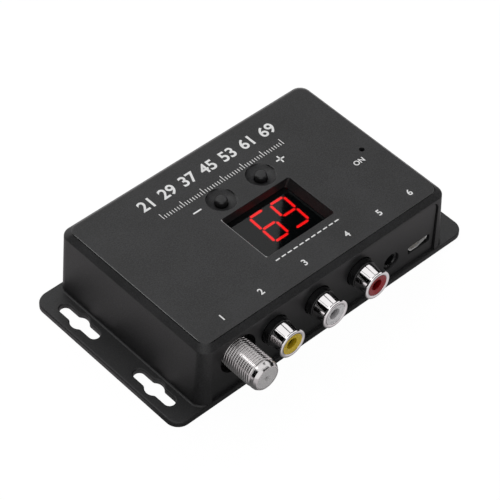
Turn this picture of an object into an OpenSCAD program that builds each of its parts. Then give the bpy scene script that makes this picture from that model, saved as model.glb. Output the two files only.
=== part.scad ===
// RF modulator box with mounting ears, in millimetres.
// Origin: middle of the underside. X runs along the box, the connectors face -Y, +Z is up.

/* [Case] */
// Length over the two mounting ears
case_l = 110; // [104:1:130]
// Depth of the base plate
case_d = 60; // [56:1:80]
// Height from the underside to the roof
case_h = 24.2; // [23.8:0.2:32]
// Length of the box at the foot of its walls
body_l = 92.8; // [90:0.4:96]
// Thickness of the walls and the roof
wall = 2.0; // [1.6:0.1:2.4]
// Thickness of the base plate
plate_t = 2.0; // [1.8:0.1:3]
// Slope of the end walls, from foot to edge
end_draft = 1.05; // [0.4:0.05:1.4]
// Slope of the long walls, from foot to edge
side_draft = 0.31; // [0.1:0.01:0.6]
// Width and height of the chamfer round the roof
chamfer = 1.85; // [1:0.05:2.2]
// Corner radius of the box at its foot
corner_r = 3.4; // [3:0.1:4]
// Corner radius of the roof
roof_r = 2.8; // [2.2:0.1:3.4]

/* [Mounting ears] */
// Corner radius of the ears
ear_r = 4.0; // [3:0.1:6]
// Width of the ears' rounded-off top edge
ear_edge = 0.6; // [0.2:0.1:1]
// Distance from the ear's end to the middle line of its slots
slot_inset_x = 4.7; // [4:0.05:4.8]
// Distance from the ear's side to the middle of a slot
slot_inset_y = 14.4; // [12:0.2:17]
// Width of a slot
slot_w = 3.4; // [3:0.1:3.8]
// Length of a slot from end to end
slot_l = 15.7; // [14:0.1:18]
// Radius of the round passage in the middle of a slot
slot_mid_r = 2.75; // [2.3:0.05:3]
// Fillet where the round passage meets the slot
slot_fillet = 1.2; // [0.6:0.1:1.4]

/* [Front panel] */
// Length of the opening in the front wall
opening_l = 84.6; // [82:0.2:85]
// How far the top of the front opening lies below the roof
opening_drop = 2.7; // [2.4:0.1:3.2]
// Corner radius at the top of the opening
opening_r = 2.5; // [1:0.1:4]
// How far the panel's face lies behind the foot of the front wall
panel_setback = 0.7; // [0.5:0.05:0.9]
// Thickness of the panel
panel_t = 1.5; // [1.2:0.1:1.8]
// Thickness of the flange behind the panel
flange_t = 1.2; // [0.8:0.1:1.4]
// Visible gap round the panel
panel_gap = 0.3; // [0.2:0.05:0.5]

/* [Display] */
// Length of the display window
window_l = 25.25; // [24:0.05:26]
// Depth of the display window
window_d = 18.3; // [17:0.1:19]
// Place of the window's middle along the box
window_x = 2.72; // [1:0.02:5]
// Place of the window's middle across the box
window_y = -6.15; // [-6.4:0.05:-5.5]
// Depth of the lens face below the roof
window_recess = 3.0; // [2.8:0.1:3.6]
// Thickness of the lens
lens_t = 1.0; // [0.8:0.1:1.2]
// Height of the display block
display_h = 8.0; // [7:0.1:8]
// How far the display stands to the right of the window's middle
display_shift_x = 2.44; // [2:0.02:3]
// How far the display stands behind the window's middle
display_shift_y = 1.84; // [1.5:0.02:2.4]
// Width of a digit, between stroke centres
digit_w = 5.0; // [4.6:0.1:5.4]
// Height of a digit, between stroke centres
digit_h = 11.0; // [10:0.1:12]
// Distance from digit to digit
digit_pitch = 7.9; // [7.6:0.1:9]
// Width of a lit stroke
stroke_w = 1.2; // [0.9:0.1:1.4]
// Slant of the digits in degrees
digit_slant = 3.0; // [0:0.5:8]

/* [Buttons and light] */
// Distance between the two buttons
button_pitch = 14.8; // [13:0.1:16]
// Middle between the buttons along the box
button_x = 2.8; // [1:0.1:5]
// Place of the buttons across the box
button_y = 8.75; // [8.4:0.05:11]
// Radius of the dish round a button
dish_r = 4.44; // [4:0.02:5]
// Depth of the dish
dish_depth = 1.6; // [1:0.1:1.7]
// Radius of the hole in the dish
button_hole_r = 1.96; // [1.9:0.02:2.1]
// Radius of the button stem
button_r = 1.75; // [1.5:0.05:1.8]
// Height of the button above the roof
button_proud = 0.3; // [0.1:0.1:1]
// Travel of a button
button_travel = 0.25; // [0.2:0.05:0.3]
// Place of the power light along the box
light_x = 38.4; // [37:0.1:39]
// Place of the power light across the box
light_y = -2.65; // [-4:0.05:2]
// Radius of the light's pin hole
light_hole_r = 0.75; // [0.5:0.05:1]

/* [Connectors] */
// How far the RCA and F connector axes lie below the middle between board and roof
jack_drop = 0.4; // [0.2:0.1:0.6]
// Place of the video jack along the box
video_x = -19.5; // [-19.7:0.1:-19.2]
// Place of the left audio jack along the box
left_x = -3.65; // [-4:0.05:-3]
// Place of the right audio jack along the box
right_x = 12.3; // [12:0.1:13]
// Radius of the sleeve of an RCA jack
rca_r = 3.45; // [3.4:0.01:3.5]
// Radius of the flared rim of an RCA jack
rca_rim_r = 4.52; // [4.3:0.02:4.8]
// Reach of an RCA jack in front of the panel
rca_reach = 7.3; // [6.5:0.1:9]
// Radius of the plug pin's hole in an RCA jack
rca_hole_r = 1.75; // [1.68:0.01:1.8]
// Place of the F connector along the box
f_x = -32.6; // [-32.9:0.1:-32.4]
// Radius over the threads of the F connector
f_r = 4.72; // [4.6:0.01:4.8]
// Reach of the F connector in front of the panel
f_reach = 11.3; // [9:0.1:13]
// Radius of the panel's hole round the F connector
f_hole_r = 6.2; // [5.2:0.1:6.4]
// Place of the infrared jack along the box
ir_x = 25.2; // [24:0.1:26]
// Height of the infrared jack's axis above the board
ir_rise = 2.1; // [2:0.05:2.3]
// Bore radius of the infrared jack
ir_bore_r = 1.8; // [1.75:0.01:1.85]
// Place of the power socket along the box
usb_x = 36.2; // [35.6:0.1:36.8]
// Width of the power socket at its top
usb_w = 7.5; // [7.3:0.1:7.6]
// Height of the power socket
usb_h = 2.6; // [2.4:0.1:2.7]

/* [Board] */
// Height of the board's underside
board_z = 5.0; // [4.6:0.1:5.2]
// Thickness of the board
board_t = 1.6; // [1.2:0.1:1.8]

/* [Hidden] */
$fn = 48;
// Facets on the soft corners of the cover
corner_facets = 32;
// Overrun of every cut past the face it opens
over = 0.5;
// Running gap between loosely fitted pieces
slack = 0.1;
// Gap between pieces that are pressed or soldered together
close = 0.05;

// Case, worked out
plate_lip = 0.2;
body_d = case_d - 2 * plate_lip;
edge_z = case_h - chamfer;
edge_l = body_l - 2 * end_draft;
edge_d = body_d - 2 * side_draft;
edge_r = corner_r - side_draft / 2;
cavity_z = case_h - wall;
cavity_r = corner_r - wall;
cavity_l = body_l - 2 * wall;
cavity_d = body_d - 2 * wall;
foot_flare = wall / 4;
slab = wall / 10;
opening_top = case_h - opening_drop;
panel_y = -body_d / 2 + panel_setback;
panel_back = panel_y + panel_t;
flange_back = panel_back + flange_t;
flange_lap = 0.8;
flange_l = opening_l + 2 * flange_lap;
inner_y = flange_back + 2 * slack;
board_top = board_z + board_t;
jack_z = (board_top + cavity_z) / 2 - jack_drop;
slot_pitch_x = case_l - 2 * slot_inset_x;
slot_pitch_y = case_d - 2 * slot_inset_y;

// Screws that close the case, up through the base plate
boss_r = 1.3 * wall;
boss_x = cavity_l / 2 - boss_r - 0.2 * wall;
boss_front = panel_y + 5 * wall;
boss_back = cavity_d / 2 - 1.9 * boss_r;
screw_r = 1.2;
screw_head_r = 2.3;
screw_head_h = 1.1;
screw_l = 8.0;

// Screws that hold the board on its posts
post_r = 2.75;
post_x = 38.5;
post_front = -11;
post_back = 14;
board_screw_r = 1.1;
board_head_h = 1.2;
board_screw_l = 5.4;

// Display, worked out
lens_z = case_h - window_recess - lens_t;
skirt_t = 1.2;
skirt_z = lens_z + lens_t + slack;
window_taper_x = 1.3;
window_taper_y = 0.1;
window_r = 0.8;
lens_lap = 0.9;
display_top = lens_z - slack;
display_z = display_top - display_h;
display_l = 25.0;
display_d = 19.0;
display_x = window_x + display_shift_x;
display_y = window_y + display_shift_y;
segment_t = 0.05;
pin_pitch = 2.54;
pin_row = 6 * pin_pitch;
pin_w = 0.5;
pins_a_row = 5;
socket_w = 2.4;

// Push switches, worked out
switch_w = 6.0;
switch_base_h = 2.5;
switch_well_r = 2.35;
switch_frame_h = 0.75;
switch_cover_t = 0.35;
dome_h = 0.45;
dome_t = 0.12;
switch_well = dome_h + button_travel + 2 * slack;
button_flange_r = 2.15;
button_flange_t = 0.5;
button_nub_r = 0.7;
button_cap_r = 1.34;
button_cap_edge = 0.4;
switch_top = board_top + switch_base_h;
flange_z = switch_top + close;
button_top = case_h + button_proud;
guide_r = 3.2;
guide_l = 2.0;

// Power light, worked out
led_r = 1.5;
led_flange_r = 1.8;
led_flange_t = 0.8;
led_h = 5.3;
led_lead_w = 0.5;
led_top = cavity_z - 3 * slack;
led_z = led_top - led_h;

// RCA jacks, worked out
rca_body = 10.0;
rca_body_d = 9.8;
rca_collar_r = 4.4;
rca_collar_reach = 2.2;
rca_hole_gap = 0.2;
rca_sleeve_t = 0.32;
rca_shoulder = 0.7;
rca_neck = 0.25;
rca_flare_l = 0.7;
rca_roll = 0.4;
rca_inner_l = 4.5;
rca_contact_r = 2.0;
rca_contact_bore = 1.6;
rca_mouth = 2.0;
tail_w = 0.8;
tail_t = 0.4;

// F connector, worked out
f_block = 12.0;
f_block_d = 8.0;
f_root_r = 4.2;
f_lead_l = 2.1;
f_lead_r = 4.6;
f_lead_taper = 0.1;
f_face_r = 3.9;
f_chamfer = 0.9;
f_bore_r = 3.6;
f_pin_r = 0.5;
f_contact_r = 0.9;

// Infrared jack, worked out
ir_z = board_top + ir_rise;
ir_body_w = 6.0;
ir_body_d = 11.7;
ir_body_h = 4.6;
ir_ring_r = 2.6;
ir_hole_r = 2.87;
ir_ring_setback = 0.55;
ir_chamfer = 0.3;

// Power socket, worked out
usb_wall = 0.25;
usb_bottom_w = 5.4;
usb_side_h = 1.3;
usb_setback = 0.5;
usb_l = 5.4;
usb_side_gap = 0.5;
usb_top_gap = 0.15;
usb_hole_w = usb_w + 2 * usb_side_gap;
usb_hole_h = usb_h + 2 * usb_top_gap;
usb_hole_r = 0.8;
usb_tongue_w = 3.7;
usb_tongue_t = 0.6;
usb_pins = 5;
usb_pin_pitch = 0.65;
usb_pin_w = 0.35;

// Parts that stand on the board
can_y = -2.9;
can_d = 23.8;
can_h = 9.0;
can_t = 0.4;
can_gap = 0.8;
can_lap = can_t + close;
can_left = -post_x + screw_head_r + can_gap;
can_right = min(display_x - display_l / 2, button_x - button_pitch / 2 - switch_w / 2) - can_gap - can_lap;
can_l = can_right - can_left;
can_x = (can_left + can_right) / 2;
driver_x = -13.5;
chip_pitch = 1.27;
small_chip_l = 9.9;
small_chip_d = 3.9;
small_chip_h = 1.5;
small_chip_legs = 8;
large_chip_l = 13.0;
large_chip_d = 7.5;
large_chip_h = 2.4;
large_chip_legs = 10;
controller_y = 19.75;
crystal_x = 17.8;
crystal_l = 11.0;
crystal_w = 4.65;
crystal_h = 3.5;
crystal_lip = 0.35;
cap_r = 3.15;
cap_h = 7.5;
cap_x = 24.8;
cap_y = -8.0;
cap_gap = 0.9;
cap_pitch = 2 * cap_r + cap_gap;
small_cap_r = 2.5;
small_cap_h = 5.5;
small_cap_x = -30;
small_cap_y = 17;
cap_groove = 0.2;
regulator_x = 32;
regulator_y = 8;
regulator_l = 6.5;
regulator_d = 3.5;
regulator_h = 1.6;
regulator_leg = 1.6;
inductor_x = 22;
inductor_l = 7.0;
inductor_h = 3.4;
inductor_r = 2.0;
resistor_x = 26;
resistor_y = 15;
resistor_l = 2.0;
resistor_gap = 1.0;
resistor_pitch = resistor_l + resistor_gap;
resistor_w = 1.25;
resistor_h = 0.5;

// Flat outlines, all true arcs

module rounded(l, d, r) {
    square([l, d - 2 * r], center = true);
    square([l - 2 * r, d], center = true);
    for (sx = [-1, 1], sy = [-1, 1])
        translate([sx * (l / 2 - r), sy * (d / 2 - r)]) circle(r);
}

// Bar with two round ends
module stadium(l, d) {
    square([l - d, d], center = true);
    for (s = [-1, 1]) translate([s * (l - d) / 2, 0]) circle(d / 2);
}

module rounded_slab(l, d, r, z, t) {
    translate([0, 0, z]) linear_extrude(t) rounded(l, d, r, $fn = corner_facets);
}

// A profile drawn as [radius, distance] pairs, turned about the axis that leaves the panel
module turned_out(x, z, profile) {
    translate([x, panel_y, z]) rotate([90, 0, 0]) rotate_extrude() polygon(profile);
}

// A round bar or bore along Y, from one depth behind the panel's face to one in front of it
module bar_out(x, z, r, back, front) {
    translate([x, panel_y + back, z]) rotate([90, 0, 0]) cylinder(h = back + front, r = r);
}

function arc(cx, cy, r, from, to, steps) =
    [for (i = [0 : steps]) let (a = from + (to - from) * i / steps) [cx + r * cos(a), cy + r * sin(a)]];

// The cover: one drafted shell with a chamfered roof

module cover_outside() {
    hull() {
        rounded_slab(body_l, body_d, corner_r, plate_t, slab);
        rounded_slab(edge_l, edge_d, edge_r, edge_z - slab, slab);
        rounded_slab(edge_l - 2 * chamfer, edge_d - 2 * chamfer, roof_r, case_h - slab, slab);
    }
    // the end walls flare out a little where they meet the ears
    hull() {
        rounded_slab(body_l + 2 * foot_flare, body_d, corner_r, plate_t, slab);
        rounded_slab(body_l, body_d, corner_r, plate_t + foot_flare, slab);
    }
}

module cover_inside() {
    hull() {
        rounded_slab(cavity_l, cavity_d, cavity_r, plate_t - over, slab);
        rounded_slab(cavity_l - 2 * end_draft, cavity_d - 2 * side_draft, cavity_r, cavity_z - slab, slab);
    }
}

// Outline of the front opening, standing on the base plate
module opening_outline(l, top, r) {
    translate([-l / 2, 0]) square([l, top - r]);
    translate([-l / 2 + r, 0]) square([l - 2 * r, top]);
    for (s = [-1, 1]) translate([s * (l / 2 - r), top - r]) circle(r);
}

module front_cut() {
    translate([0, panel_back + slack, plate_t - over]) rotate([90, 0, 0])
        linear_extrude(wall + panel_setback + over)
            opening_outline(opening_l, opening_top - plate_t + over, opening_r);
    groove_d = flange_t + 2 * slack;
    groove_l = flange_l + 4 * slack;
    translate([-groove_l / 2, panel_back - slack, plate_t - over])
        cube([groove_l, groove_d, cavity_z - plate_t + over - slack]);
}

module window_cut() {
    hull() {
        translate([window_x, window_y, 0])
            rounded_slab(window_l - 2 * window_taper_x, window_d - 2 * window_taper_y, window_r,
                skirt_z - over, slab);
        translate([window_x, window_y, 0])
            rounded_slab(window_l, window_d, window_r, case_h - slab, slab + close);
    }
    translate([window_x, window_y, 0]) rounded_slab(window_l, window_d, window_r, case_h, over);
}

module window_skirt() {
    translate([window_x, window_y, skirt_z]) linear_extrude(cavity_z - skirt_z + slab)
        rounded(window_l + 2 * skirt_t, window_d + 2 * skirt_t, window_r + skirt_t);
}

// Round dish, a slice of a sphere sunk to its depth at the button's hole
dish_fall = dish_r * dish_r - button_hole_r * button_hole_r;
dish_ball_r = sqrt(pow((dish_fall - dish_depth * dish_depth) / (2 * dish_depth), 2) + dish_r * dish_r);
dish_ball_up = sqrt(dish_ball_r * dish_ball_r - dish_r * dish_r);

module button_dish(x) {
    start = atan2(-dish_ball_up, dish_r);
    stop = -acos(button_hole_r / dish_ball_r);
    translate([x, button_y, case_h]) rotate_extrude() polygon(concat(
        [[0, over], [dish_r, over]],
        arc(0, dish_ball_up, dish_ball_r, start, stop, 8),
        [[0, -dish_depth]]));
    translate([x, button_y, cavity_z - guide_l - over])
        cylinder(h = wall + guide_l + 2 * over, r = button_hole_r);
}

module case_boss(x, y) {
    translate([x, y, plate_t + slack]) cylinder(h = cavity_z - plate_t, r = boss_r);
    reach = cavity_l / 2 - boss_x + wall / 2 - end_draft / 2;
    translate([x < 0 ? x - reach : x, y - wall / 4, plate_t + wall])
        cube([reach, wall / 2, cavity_z - plate_t - wall]);
}

module top_cover() {
    color([0.14, 0.14, 0.145]) difference() {
        union() {
            difference() {
                cover_outside();
                cover_inside();
                front_cut();
            }
            window_skirt();
            for (s = [-1, 1]) {
                translate([button_x + s * button_pitch / 2, button_y, cavity_z - guide_l])
                    cylinder(h = guide_l + slab, r = guide_r);
                case_boss(s * boss_x, boss_front);
                case_boss(s * boss_x, boss_back);
            }
        }
        window_cut();
        for (s = [-1, 1]) {
            button_dish(button_x + s * button_pitch / 2);
            for (y = [boss_front, boss_back])
                translate([s * boss_x, y, plate_t - over]) cylinder(h = screw_l + over, r = screw_r + close);
        }
        translate([light_x, light_y, cavity_z - over]) cylinder(h = wall + 2 * over, r = light_hole_r);
    }
}

// The base plate with its ears

// Slot with a round passage in its middle and filleted shoulders
module slot_outline() {
    end_r = slot_w / 2;
    rotate(90) stadium(slot_l, slot_w);
    circle(slot_mid_r);
    fx = end_r + slot_fillet;
    fy = sqrt(pow(slot_mid_r + slot_fillet, 2) - fx * fx);
    for (sx = [0, 1], sy = [0, 1]) mirror([sx, 0]) mirror([0, sy]) difference() {
        polygon([[0, 0], [fx, fy], [0, fy]]);
        translate([fx, fy]) circle(slot_fillet);
    }
}

module board_post(x, y) {
    translate([x, y, plate_t - slab]) cylinder(h = board_z - plate_t + slab, r = post_r);
}

module base_plate() {
    rib_h = board_z - plate_t - wall / 4;
    color([0.1, 0.1, 0.105]) difference() {
        union() {
            hull() {
                rounded_slab(case_l, case_d, ear_r, 0, plate_t - ear_edge);
                rounded_slab(case_l - 2 * ear_edge, case_d, ear_r, plate_t - slab, slab);
            }
            for (sx = [-1, 1], y = [post_front, post_back]) board_post(sx * post_x, y);
            translate([-cavity_l / 2 + 2 * wall, inner_y - slack, plate_t - slab])
                cube([cavity_l - 4 * wall, wall / 2, rib_h + slab]);
        }
        for (sx = [-1, 1], sy = [-1, 1])
            translate([sx * slot_pitch_x / 2, sy * slot_pitch_y / 2, -over])
                linear_extrude(plate_t + 2 * over) slot_outline();
        for (sx = [-1, 1], y = [boss_front, boss_back]) translate([sx * boss_x, y, -over]) {
            cylinder(h = plate_t + 2 * over, r = screw_r + 3 * slack);
            cylinder(h = screw_head_h + 2 * slack + over, r = screw_head_r + 2 * slack);
        }
        for (sx = [-1, 1], y = [post_front, post_back])
            translate([sx * post_x, y, board_top - board_screw_l - 3 * slack])
                cylinder(h = board_screw_l + over, r = board_screw_r + close);
    }
}

// The front panel, with the holes that its connectors stand in

module front_panel() {
    panel_l = opening_l - 2 * panel_gap;
    color([0.12, 0.12, 0.125]) difference() {
        union() {
            translate([0, panel_back, plate_t]) rotate([90, 0, 0]) linear_extrude(panel_t)
                opening_outline(panel_l, opening_top - panel_gap - plate_t, opening_r - panel_gap);
            translate([0, flange_back, plate_t]) rotate([90, 0, 0]) linear_extrude(flange_t)
                opening_outline(flange_l, cavity_z - plate_t - 2 * slack, opening_r);
        }
        bar_out(f_x, jack_z, f_hole_r, panel_t + flange_t + over, over);
        for (x = [video_x, left_x, right_x])
            bar_out(x, jack_z, rca_collar_r + rca_hole_gap, panel_t + flange_t + over, over);
        bar_out(ir_x, ir_z, ir_hole_r, panel_t + flange_t + over, over);
        translate([usb_x, flange_back + over, board_top + usb_h / 2 - close]) rotate([90, 0, 0])
            linear_extrude(panel_t + flange_t + 2 * over) rounded(usb_hole_w, usb_hole_h, usb_hole_r);
    }
}

// The display

module display_lens() {
    color([0.05, 0.03, 0.03]) translate([window_x, window_y, lens_z]) linear_extrude(lens_t)
        rounded(window_l + 2 * lens_lap, window_d + 2 * lens_lap, window_r);
}

module display_housing() {
    color([0.08, 0.08, 0.08]) translate([display_x - display_l / 2, display_y - display_d / 2, display_z])
        difference() {
            cube([display_l, display_d, display_h - segment_t]);
            translate([wall / 2, wall / 2, -over])
                cube([display_l - wall, display_d - wall, wall / 2 + over]);
        }
}

// Strokes that are lit, of each digit: top, upper left, upper right, middle, lower left, lower right, bottom
function strokes_of(digit) =
    [[1, 1, 1, 0, 1, 1, 1], [0, 0, 1, 0, 0, 1, 0], [1, 0, 1, 1, 1, 0, 1], [1, 0, 1, 1, 0, 1, 1],
     [0, 1, 1, 1, 0, 1, 0], [1, 1, 0, 1, 0, 1, 1], [1, 1, 0, 1, 1, 1, 1], [1, 0, 1, 0, 0, 1, 0],
     [1, 1, 1, 1, 1, 1, 1], [1, 1, 1, 1, 0, 1, 1]][digit];

// Bars with round ends; the upright ones lean, and the level ones follow them
module digit_strokes(digit) {
    lit = strokes_of(digit);
    lean = tan(digit_slant);
    for (row = [0 : 2]) if (lit[3 * row] == 1) {
        y = (1 - row) * digit_h / 2;
        translate([lean * y, y]) stadium(digit_w - stroke_w, stroke_w);
    }
    for (row = [0, 1], side = [0, 1]) if (lit[1 + 3 * row + side] == 1) {
        y = (1 - 2 * row) * digit_h / 4;
        translate([(2 * side - 1) * digit_w / 2 + lean * y, y]) rotate(90 - digit_slant)
            stadium(digit_h / 2 - stroke_w, stroke_w);
    }
}

module display_segments() {
    color([1, 0.1, 0.05]) translate([display_x, display_y, display_top - segment_t])
        linear_extrude(segment_t) for (i = [0, 1])
            translate([(2 * i - 1) * digit_pitch / 2, 0]) digit_strokes([6, 9][i]);
}

module on_pin_rows() {
    for (row = [-1, 1], i = [0 : pins_a_row - 1])
        translate([display_x + (i - (pins_a_row - 1) / 2) * pin_pitch, display_y + row * pin_row / 2, 0])
            children();
}

module display_pins() {
    pin_top = display_z + wall / 2;
    pin_foot = board_top + wall / 2;
    color([0.8, 0.8, 0.82]) on_pin_rows() translate([-pin_w / 2, -pin_w / 2, pin_foot])
        cube([pin_w, pin_w, pin_top - pin_foot]);
}

module display_sockets() {
    h = display_z - board_top - slack;
    color([0.1, 0.1, 0.1]) difference() {
        for (row = [-1, 1])
            translate([display_x, display_y + row * pin_row / 2, board_top + h / 2])
                cube([pins_a_row * pin_pitch, socket_w, h], center = true);
        on_pin_rows() translate([-pin_w / 2 - close, -pin_w / 2 - close, board_top + wall / 2 - close])
            cube([pin_w + 2 * close, pin_w + 2 * close, display_z]);
    }
}

// The board, and the screws

module main_board() {
    board_front = inner_y + 2 * slack;
    board_back = cavity_d / 2 - wall;
    board_l = cavity_l - 1.2 * wall;
    notch_r = boss_r + wall / 4;
    color([0.05, 0.3, 0.12]) difference() {
        translate([-board_l / 2, board_front, board_z]) cube([board_l, board_back - board_front, board_t]);
        for (sx = [-1, 1]) {
            translate([sx * boss_x, boss_front, board_z - over])
                cylinder(h = board_t + 2 * over, r = notch_r);
            translate([sx * (boss_x + board_l / 2), boss_front, board_z])
                cube([board_l, 2 * notch_r, 4 * board_t], center = true);
            translate([sx * (boss_x - notch_r + board_l / 2), boss_back - notch_r + board_l / 2, board_z])
                cube([board_l, board_l, 4 * board_t], center = true);
            for (y = [post_front, post_back]) translate([sx * post_x, y, board_z - over])
                cylinder(h = board_t + 2 * over, r = board_screw_r + slack);
        }
    }
}

// Pan-head screw, its tip at zero
module screw(r, l, head_r, head_h) {
    rotate_extrude() polygon([[0, 0], [r, 0], [r, l], [head_r, l], [head_r - head_h / 4, l + head_h],
        [0, l + head_h]]);
}

module board_screws() {
    color([0.75, 0.75, 0.77]) for (sx = [-1, 1], y = [post_front, post_back])
        translate([sx * post_x, y, board_top - board_screw_l])
            screw(board_screw_r, board_screw_l, screw_head_r, board_head_h);
}

module case_screws() {
    color([0.2, 0.2, 0.21]) for (sx = [-1, 1], y = [boss_front, boss_back])
        translate([sx * boss_x, y, screw_head_h + 2 * slack + screw_l - wall]) mirror([0, 0, 1])
            screw(screw_r, screw_l - wall, screw_head_r, screw_head_h);
}

// The F connector

module f_connector_mount() {
    foot = board_top;
    color([0.1, 0.1, 0.1]) difference() {
        translate([f_x - f_block / 2, inner_y, foot])
            cube([f_block, f_block_d, jack_z + f_block / 2 - foot]);
        bar_out(f_x, jack_z, f_root_r + close, inner_y - panel_y + f_block_d - wall, over);
    }
}

module f_connector_shell() {
    depth = inner_y - panel_y;
    color([0.8, 0.79, 0.78]) difference() {
        union() {
            bar_out(f_x, jack_z, f_root_r, depth + f_block_d - wall - slack, 0);
            bar_out(f_x, jack_z, f_r, 0, f_reach - f_lead_l);
            turned_out(f_x, jack_z, [[0, 0], [f_lead_r, 0], [f_lead_r, f_reach - f_lead_l],
                [f_lead_r - f_lead_taper, f_reach - f_chamfer], [f_face_r, f_reach], [0, f_reach]]);
        }
        bar_out(f_x, jack_z, f_bore_r, depth + f_block_d, f_reach + over);
    }
}

module f_connector_insulator() {
    depth = inner_y - panel_y + f_block_d - wall - slack;
    color([0.75, 0.75, 0.75]) difference() {
        bar_out(f_x, jack_z, f_bore_r - close, depth, f_reach);
        bar_out(f_x, jack_z, f_contact_r + close, depth + over, f_reach - wall);
        bar_out(f_x, jack_z, f_pin_r, 0, f_reach + over);
    }
}

module f_connector_contact() {
    depth = inner_y - panel_y + f_block_d - wall - slack;
    color([0.85, 0.7, 0.4]) difference() {
        bar_out(f_x, jack_z, f_contact_r, depth, f_reach - wall - slack);
        bar_out(f_x, jack_z, f_pin_r, 0, f_reach);
    }
}

// The RCA jacks

module rca_housing(x) {
    depth = inner_y - panel_y;
    color([0.06, 0.06, 0.06]) difference() {
        union() {
            translate([x - rca_body / 2, inner_y, board_top])
                cube([rca_body, rca_body_d, jack_z + rca_body / 2 - board_top]);
            bar_out(x, jack_z, rca_collar_r, depth + slab, rca_collar_reach);
        }
        bar_out(x, jack_z, rca_r + close, depth + rca_inner_l, rca_collar_reach + over);
    }
}

// Sleeve that tapers from a shoulder on the collar, then widens into a rolled rim
module rca_shell(x) {
    inner = rca_r - rca_sleeve_t;
    back = inner_y - panel_y + rca_inner_l - slack;
    neck_r = rca_r + rca_neck;
    shoulder = rca_collar_reach + close;
    flare_h = rca_rim_r - neck_r - rca_roll;
    front = rca_reach;
    flare_front = front - 1.5 * rca_roll;
    color([0.85, 0.85, 0.86]) turned_out(x, jack_z, concat(
        [[inner, -back], [rca_r, -back], [rca_r, shoulder], [rca_r + rca_shoulder, shoulder],
            [neck_r, flare_front - rca_flare_l]],
        [for (a = [15 : 15 : 90])
            [neck_r + flare_h * (1 - cos(a)), flare_front - rca_flare_l * (1 - sin(a))]],
        arc(rca_rim_r - rca_roll, front - rca_roll, rca_roll, -30, 90, 6),
        [[inner, front]]));
}

module rca_insert(x, shade) {
    depth = inner_y - panel_y + rca_inner_l - slack;
    outer = rca_r - rca_sleeve_t - close;
    dish = rca_roll;
    color(shade) difference() {
        turned_out(x, jack_z, [[0, -depth], [outer, -depth], [outer, rca_reach],
            [rca_hole_r, rca_reach - dish], [0, rca_reach - dish]]);
        bar_out(x, jack_z, rca_hole_r, 0, rca_reach + over);
        bar_out(x, jack_z, rca_contact_r + close, depth - wall, rca_reach - rca_mouth);
    }
}

module rca_contact(x) {
    depth = inner_y - panel_y + rca_inner_l - wall - 2 * slack;
    front = rca_reach - rca_mouth - slack;
    color([0.85, 0.85, 0.8]) difference() {
        bar_out(x, jack_z, rca_contact_r, depth, front);
        bar_out(x, jack_z, rca_contact_bore, depth - tail_t, front + over);
        translate([x - tail_t / 2, panel_y - front - over, jack_z - rca_contact_r - over])
            cube([tail_t, front + over, 2 * rca_contact_r + 2 * over]);
    }
}

// The infrared jack

module ir_jack_body() {
    depth = inner_y - panel_y;
    color([0.07, 0.07, 0.07]) difference() {
        union() {
            translate([ir_x - ir_body_w / 2, inner_y, board_top + close])
                cube([ir_body_w, ir_body_d, ir_body_h]);
            bar_out(ir_x, ir_z, ir_ring_r, depth + slack, -ir_ring_setback);
        }
        bar_out(ir_x, ir_z, ir_bore_r, depth + ir_body_d - wall / 2, over);
        turned_out(ir_x, ir_z, [[0, -ir_ring_setback - ir_chamfer],
            [ir_bore_r, -ir_ring_setback - ir_chamfer], [ir_bore_r + ir_chamfer, -ir_ring_setback],
            [ir_bore_r + ir_chamfer, 0], [0, 0]]);
    }
}

// Flat solder lugs against the sides and the back of the jack
module ir_jack_contacts() {
    lug_h = 0.8 * ir_body_h;
    color([0.8, 0.8, 0.8]) {
        for (s = [-1, 1]) translate([ir_x + s * (ir_body_w / 2 + close + tail_t / 2),
            inner_y + ir_body_d / 2 + s * tail_w, board_top + lug_h / 2])
            cube([tail_t, tail_w, lug_h], center = true);
        translate([ir_x, inner_y + ir_body_d + close + tail_t / 2, board_top + lug_h / 2])
            cube([tail_w, tail_t, lug_h], center = true);
    }
}

// The power socket

// Outline with its lower corners cut in, grown or shrunk by d
module usb_outline(d) {
    half_top = usb_w / 2 + d;
    half_bottom = usb_bottom_w / 2 + d;
    low = -d;
    high = usb_h + d;
    side = usb_h - usb_side_h;
    polygon([[-half_bottom, low], [half_bottom, low], [half_top, side], [half_top, high], [-half_top, high],
        [-half_top, side]]);
}

module usb_run(d, back, front) {
    translate([usb_x, back, board_top]) rotate([90, 0, 0]) linear_extrude(back - front) usb_outline(d);
}

usb_front = panel_y + usb_setback;
usb_back = usb_front + usb_l;

module usb_shell() {
    color([0.8, 0.8, 0.8]) difference() {
        usb_run(0, usb_back, usb_front);
        usb_run(-usb_wall, usb_back + over, usb_front - over);
    }
}

// Plug of black plastic at the back of the shell, with the tongue that reaches forward
module usb_tongue() {
    block_front = usb_back - wall / 2;
    tongue_z = board_top + usb_h / 2 + usb_tongue_t / 2;
    color([0.06, 0.06, 0.06]) {
        usb_run(-usb_wall - close, usb_back, block_front);
        translate([usb_x - usb_tongue_w / 2, usb_front + wall / 2, tongue_z - usb_tongue_t / 2])
            cube([usb_tongue_w, block_front - usb_front - wall / 2 + slab, usb_tongue_t]);
    }
}

module usb_contacts() {
    contact_t = usb_wall / 2;
    tongue_low = board_top + usb_h / 2;
    color([0.9, 0.75, 0.4]) for (i = [0 : usb_pins - 1])
        translate([usb_x + (i - (usb_pins - 1) / 2) * usb_pin_pitch - usb_pin_w / 2,
            usb_front + wall / 2 + slack, tongue_low - contact_t])
            cube([usb_pin_w, usb_l - wall - 2 * slack, contact_t]);
}

// The push switches and their buttons

module switch_base(x) {
    color([0.1, 0.1, 0.1]) difference() {
        translate([x - switch_w / 2, button_y - switch_w / 2, board_top])
            cube([switch_w, switch_w, switch_base_h]);
        translate([x, button_y, switch_top - switch_well])
            cylinder(h = switch_well + over, r = switch_well_r);
    }
}

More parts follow.
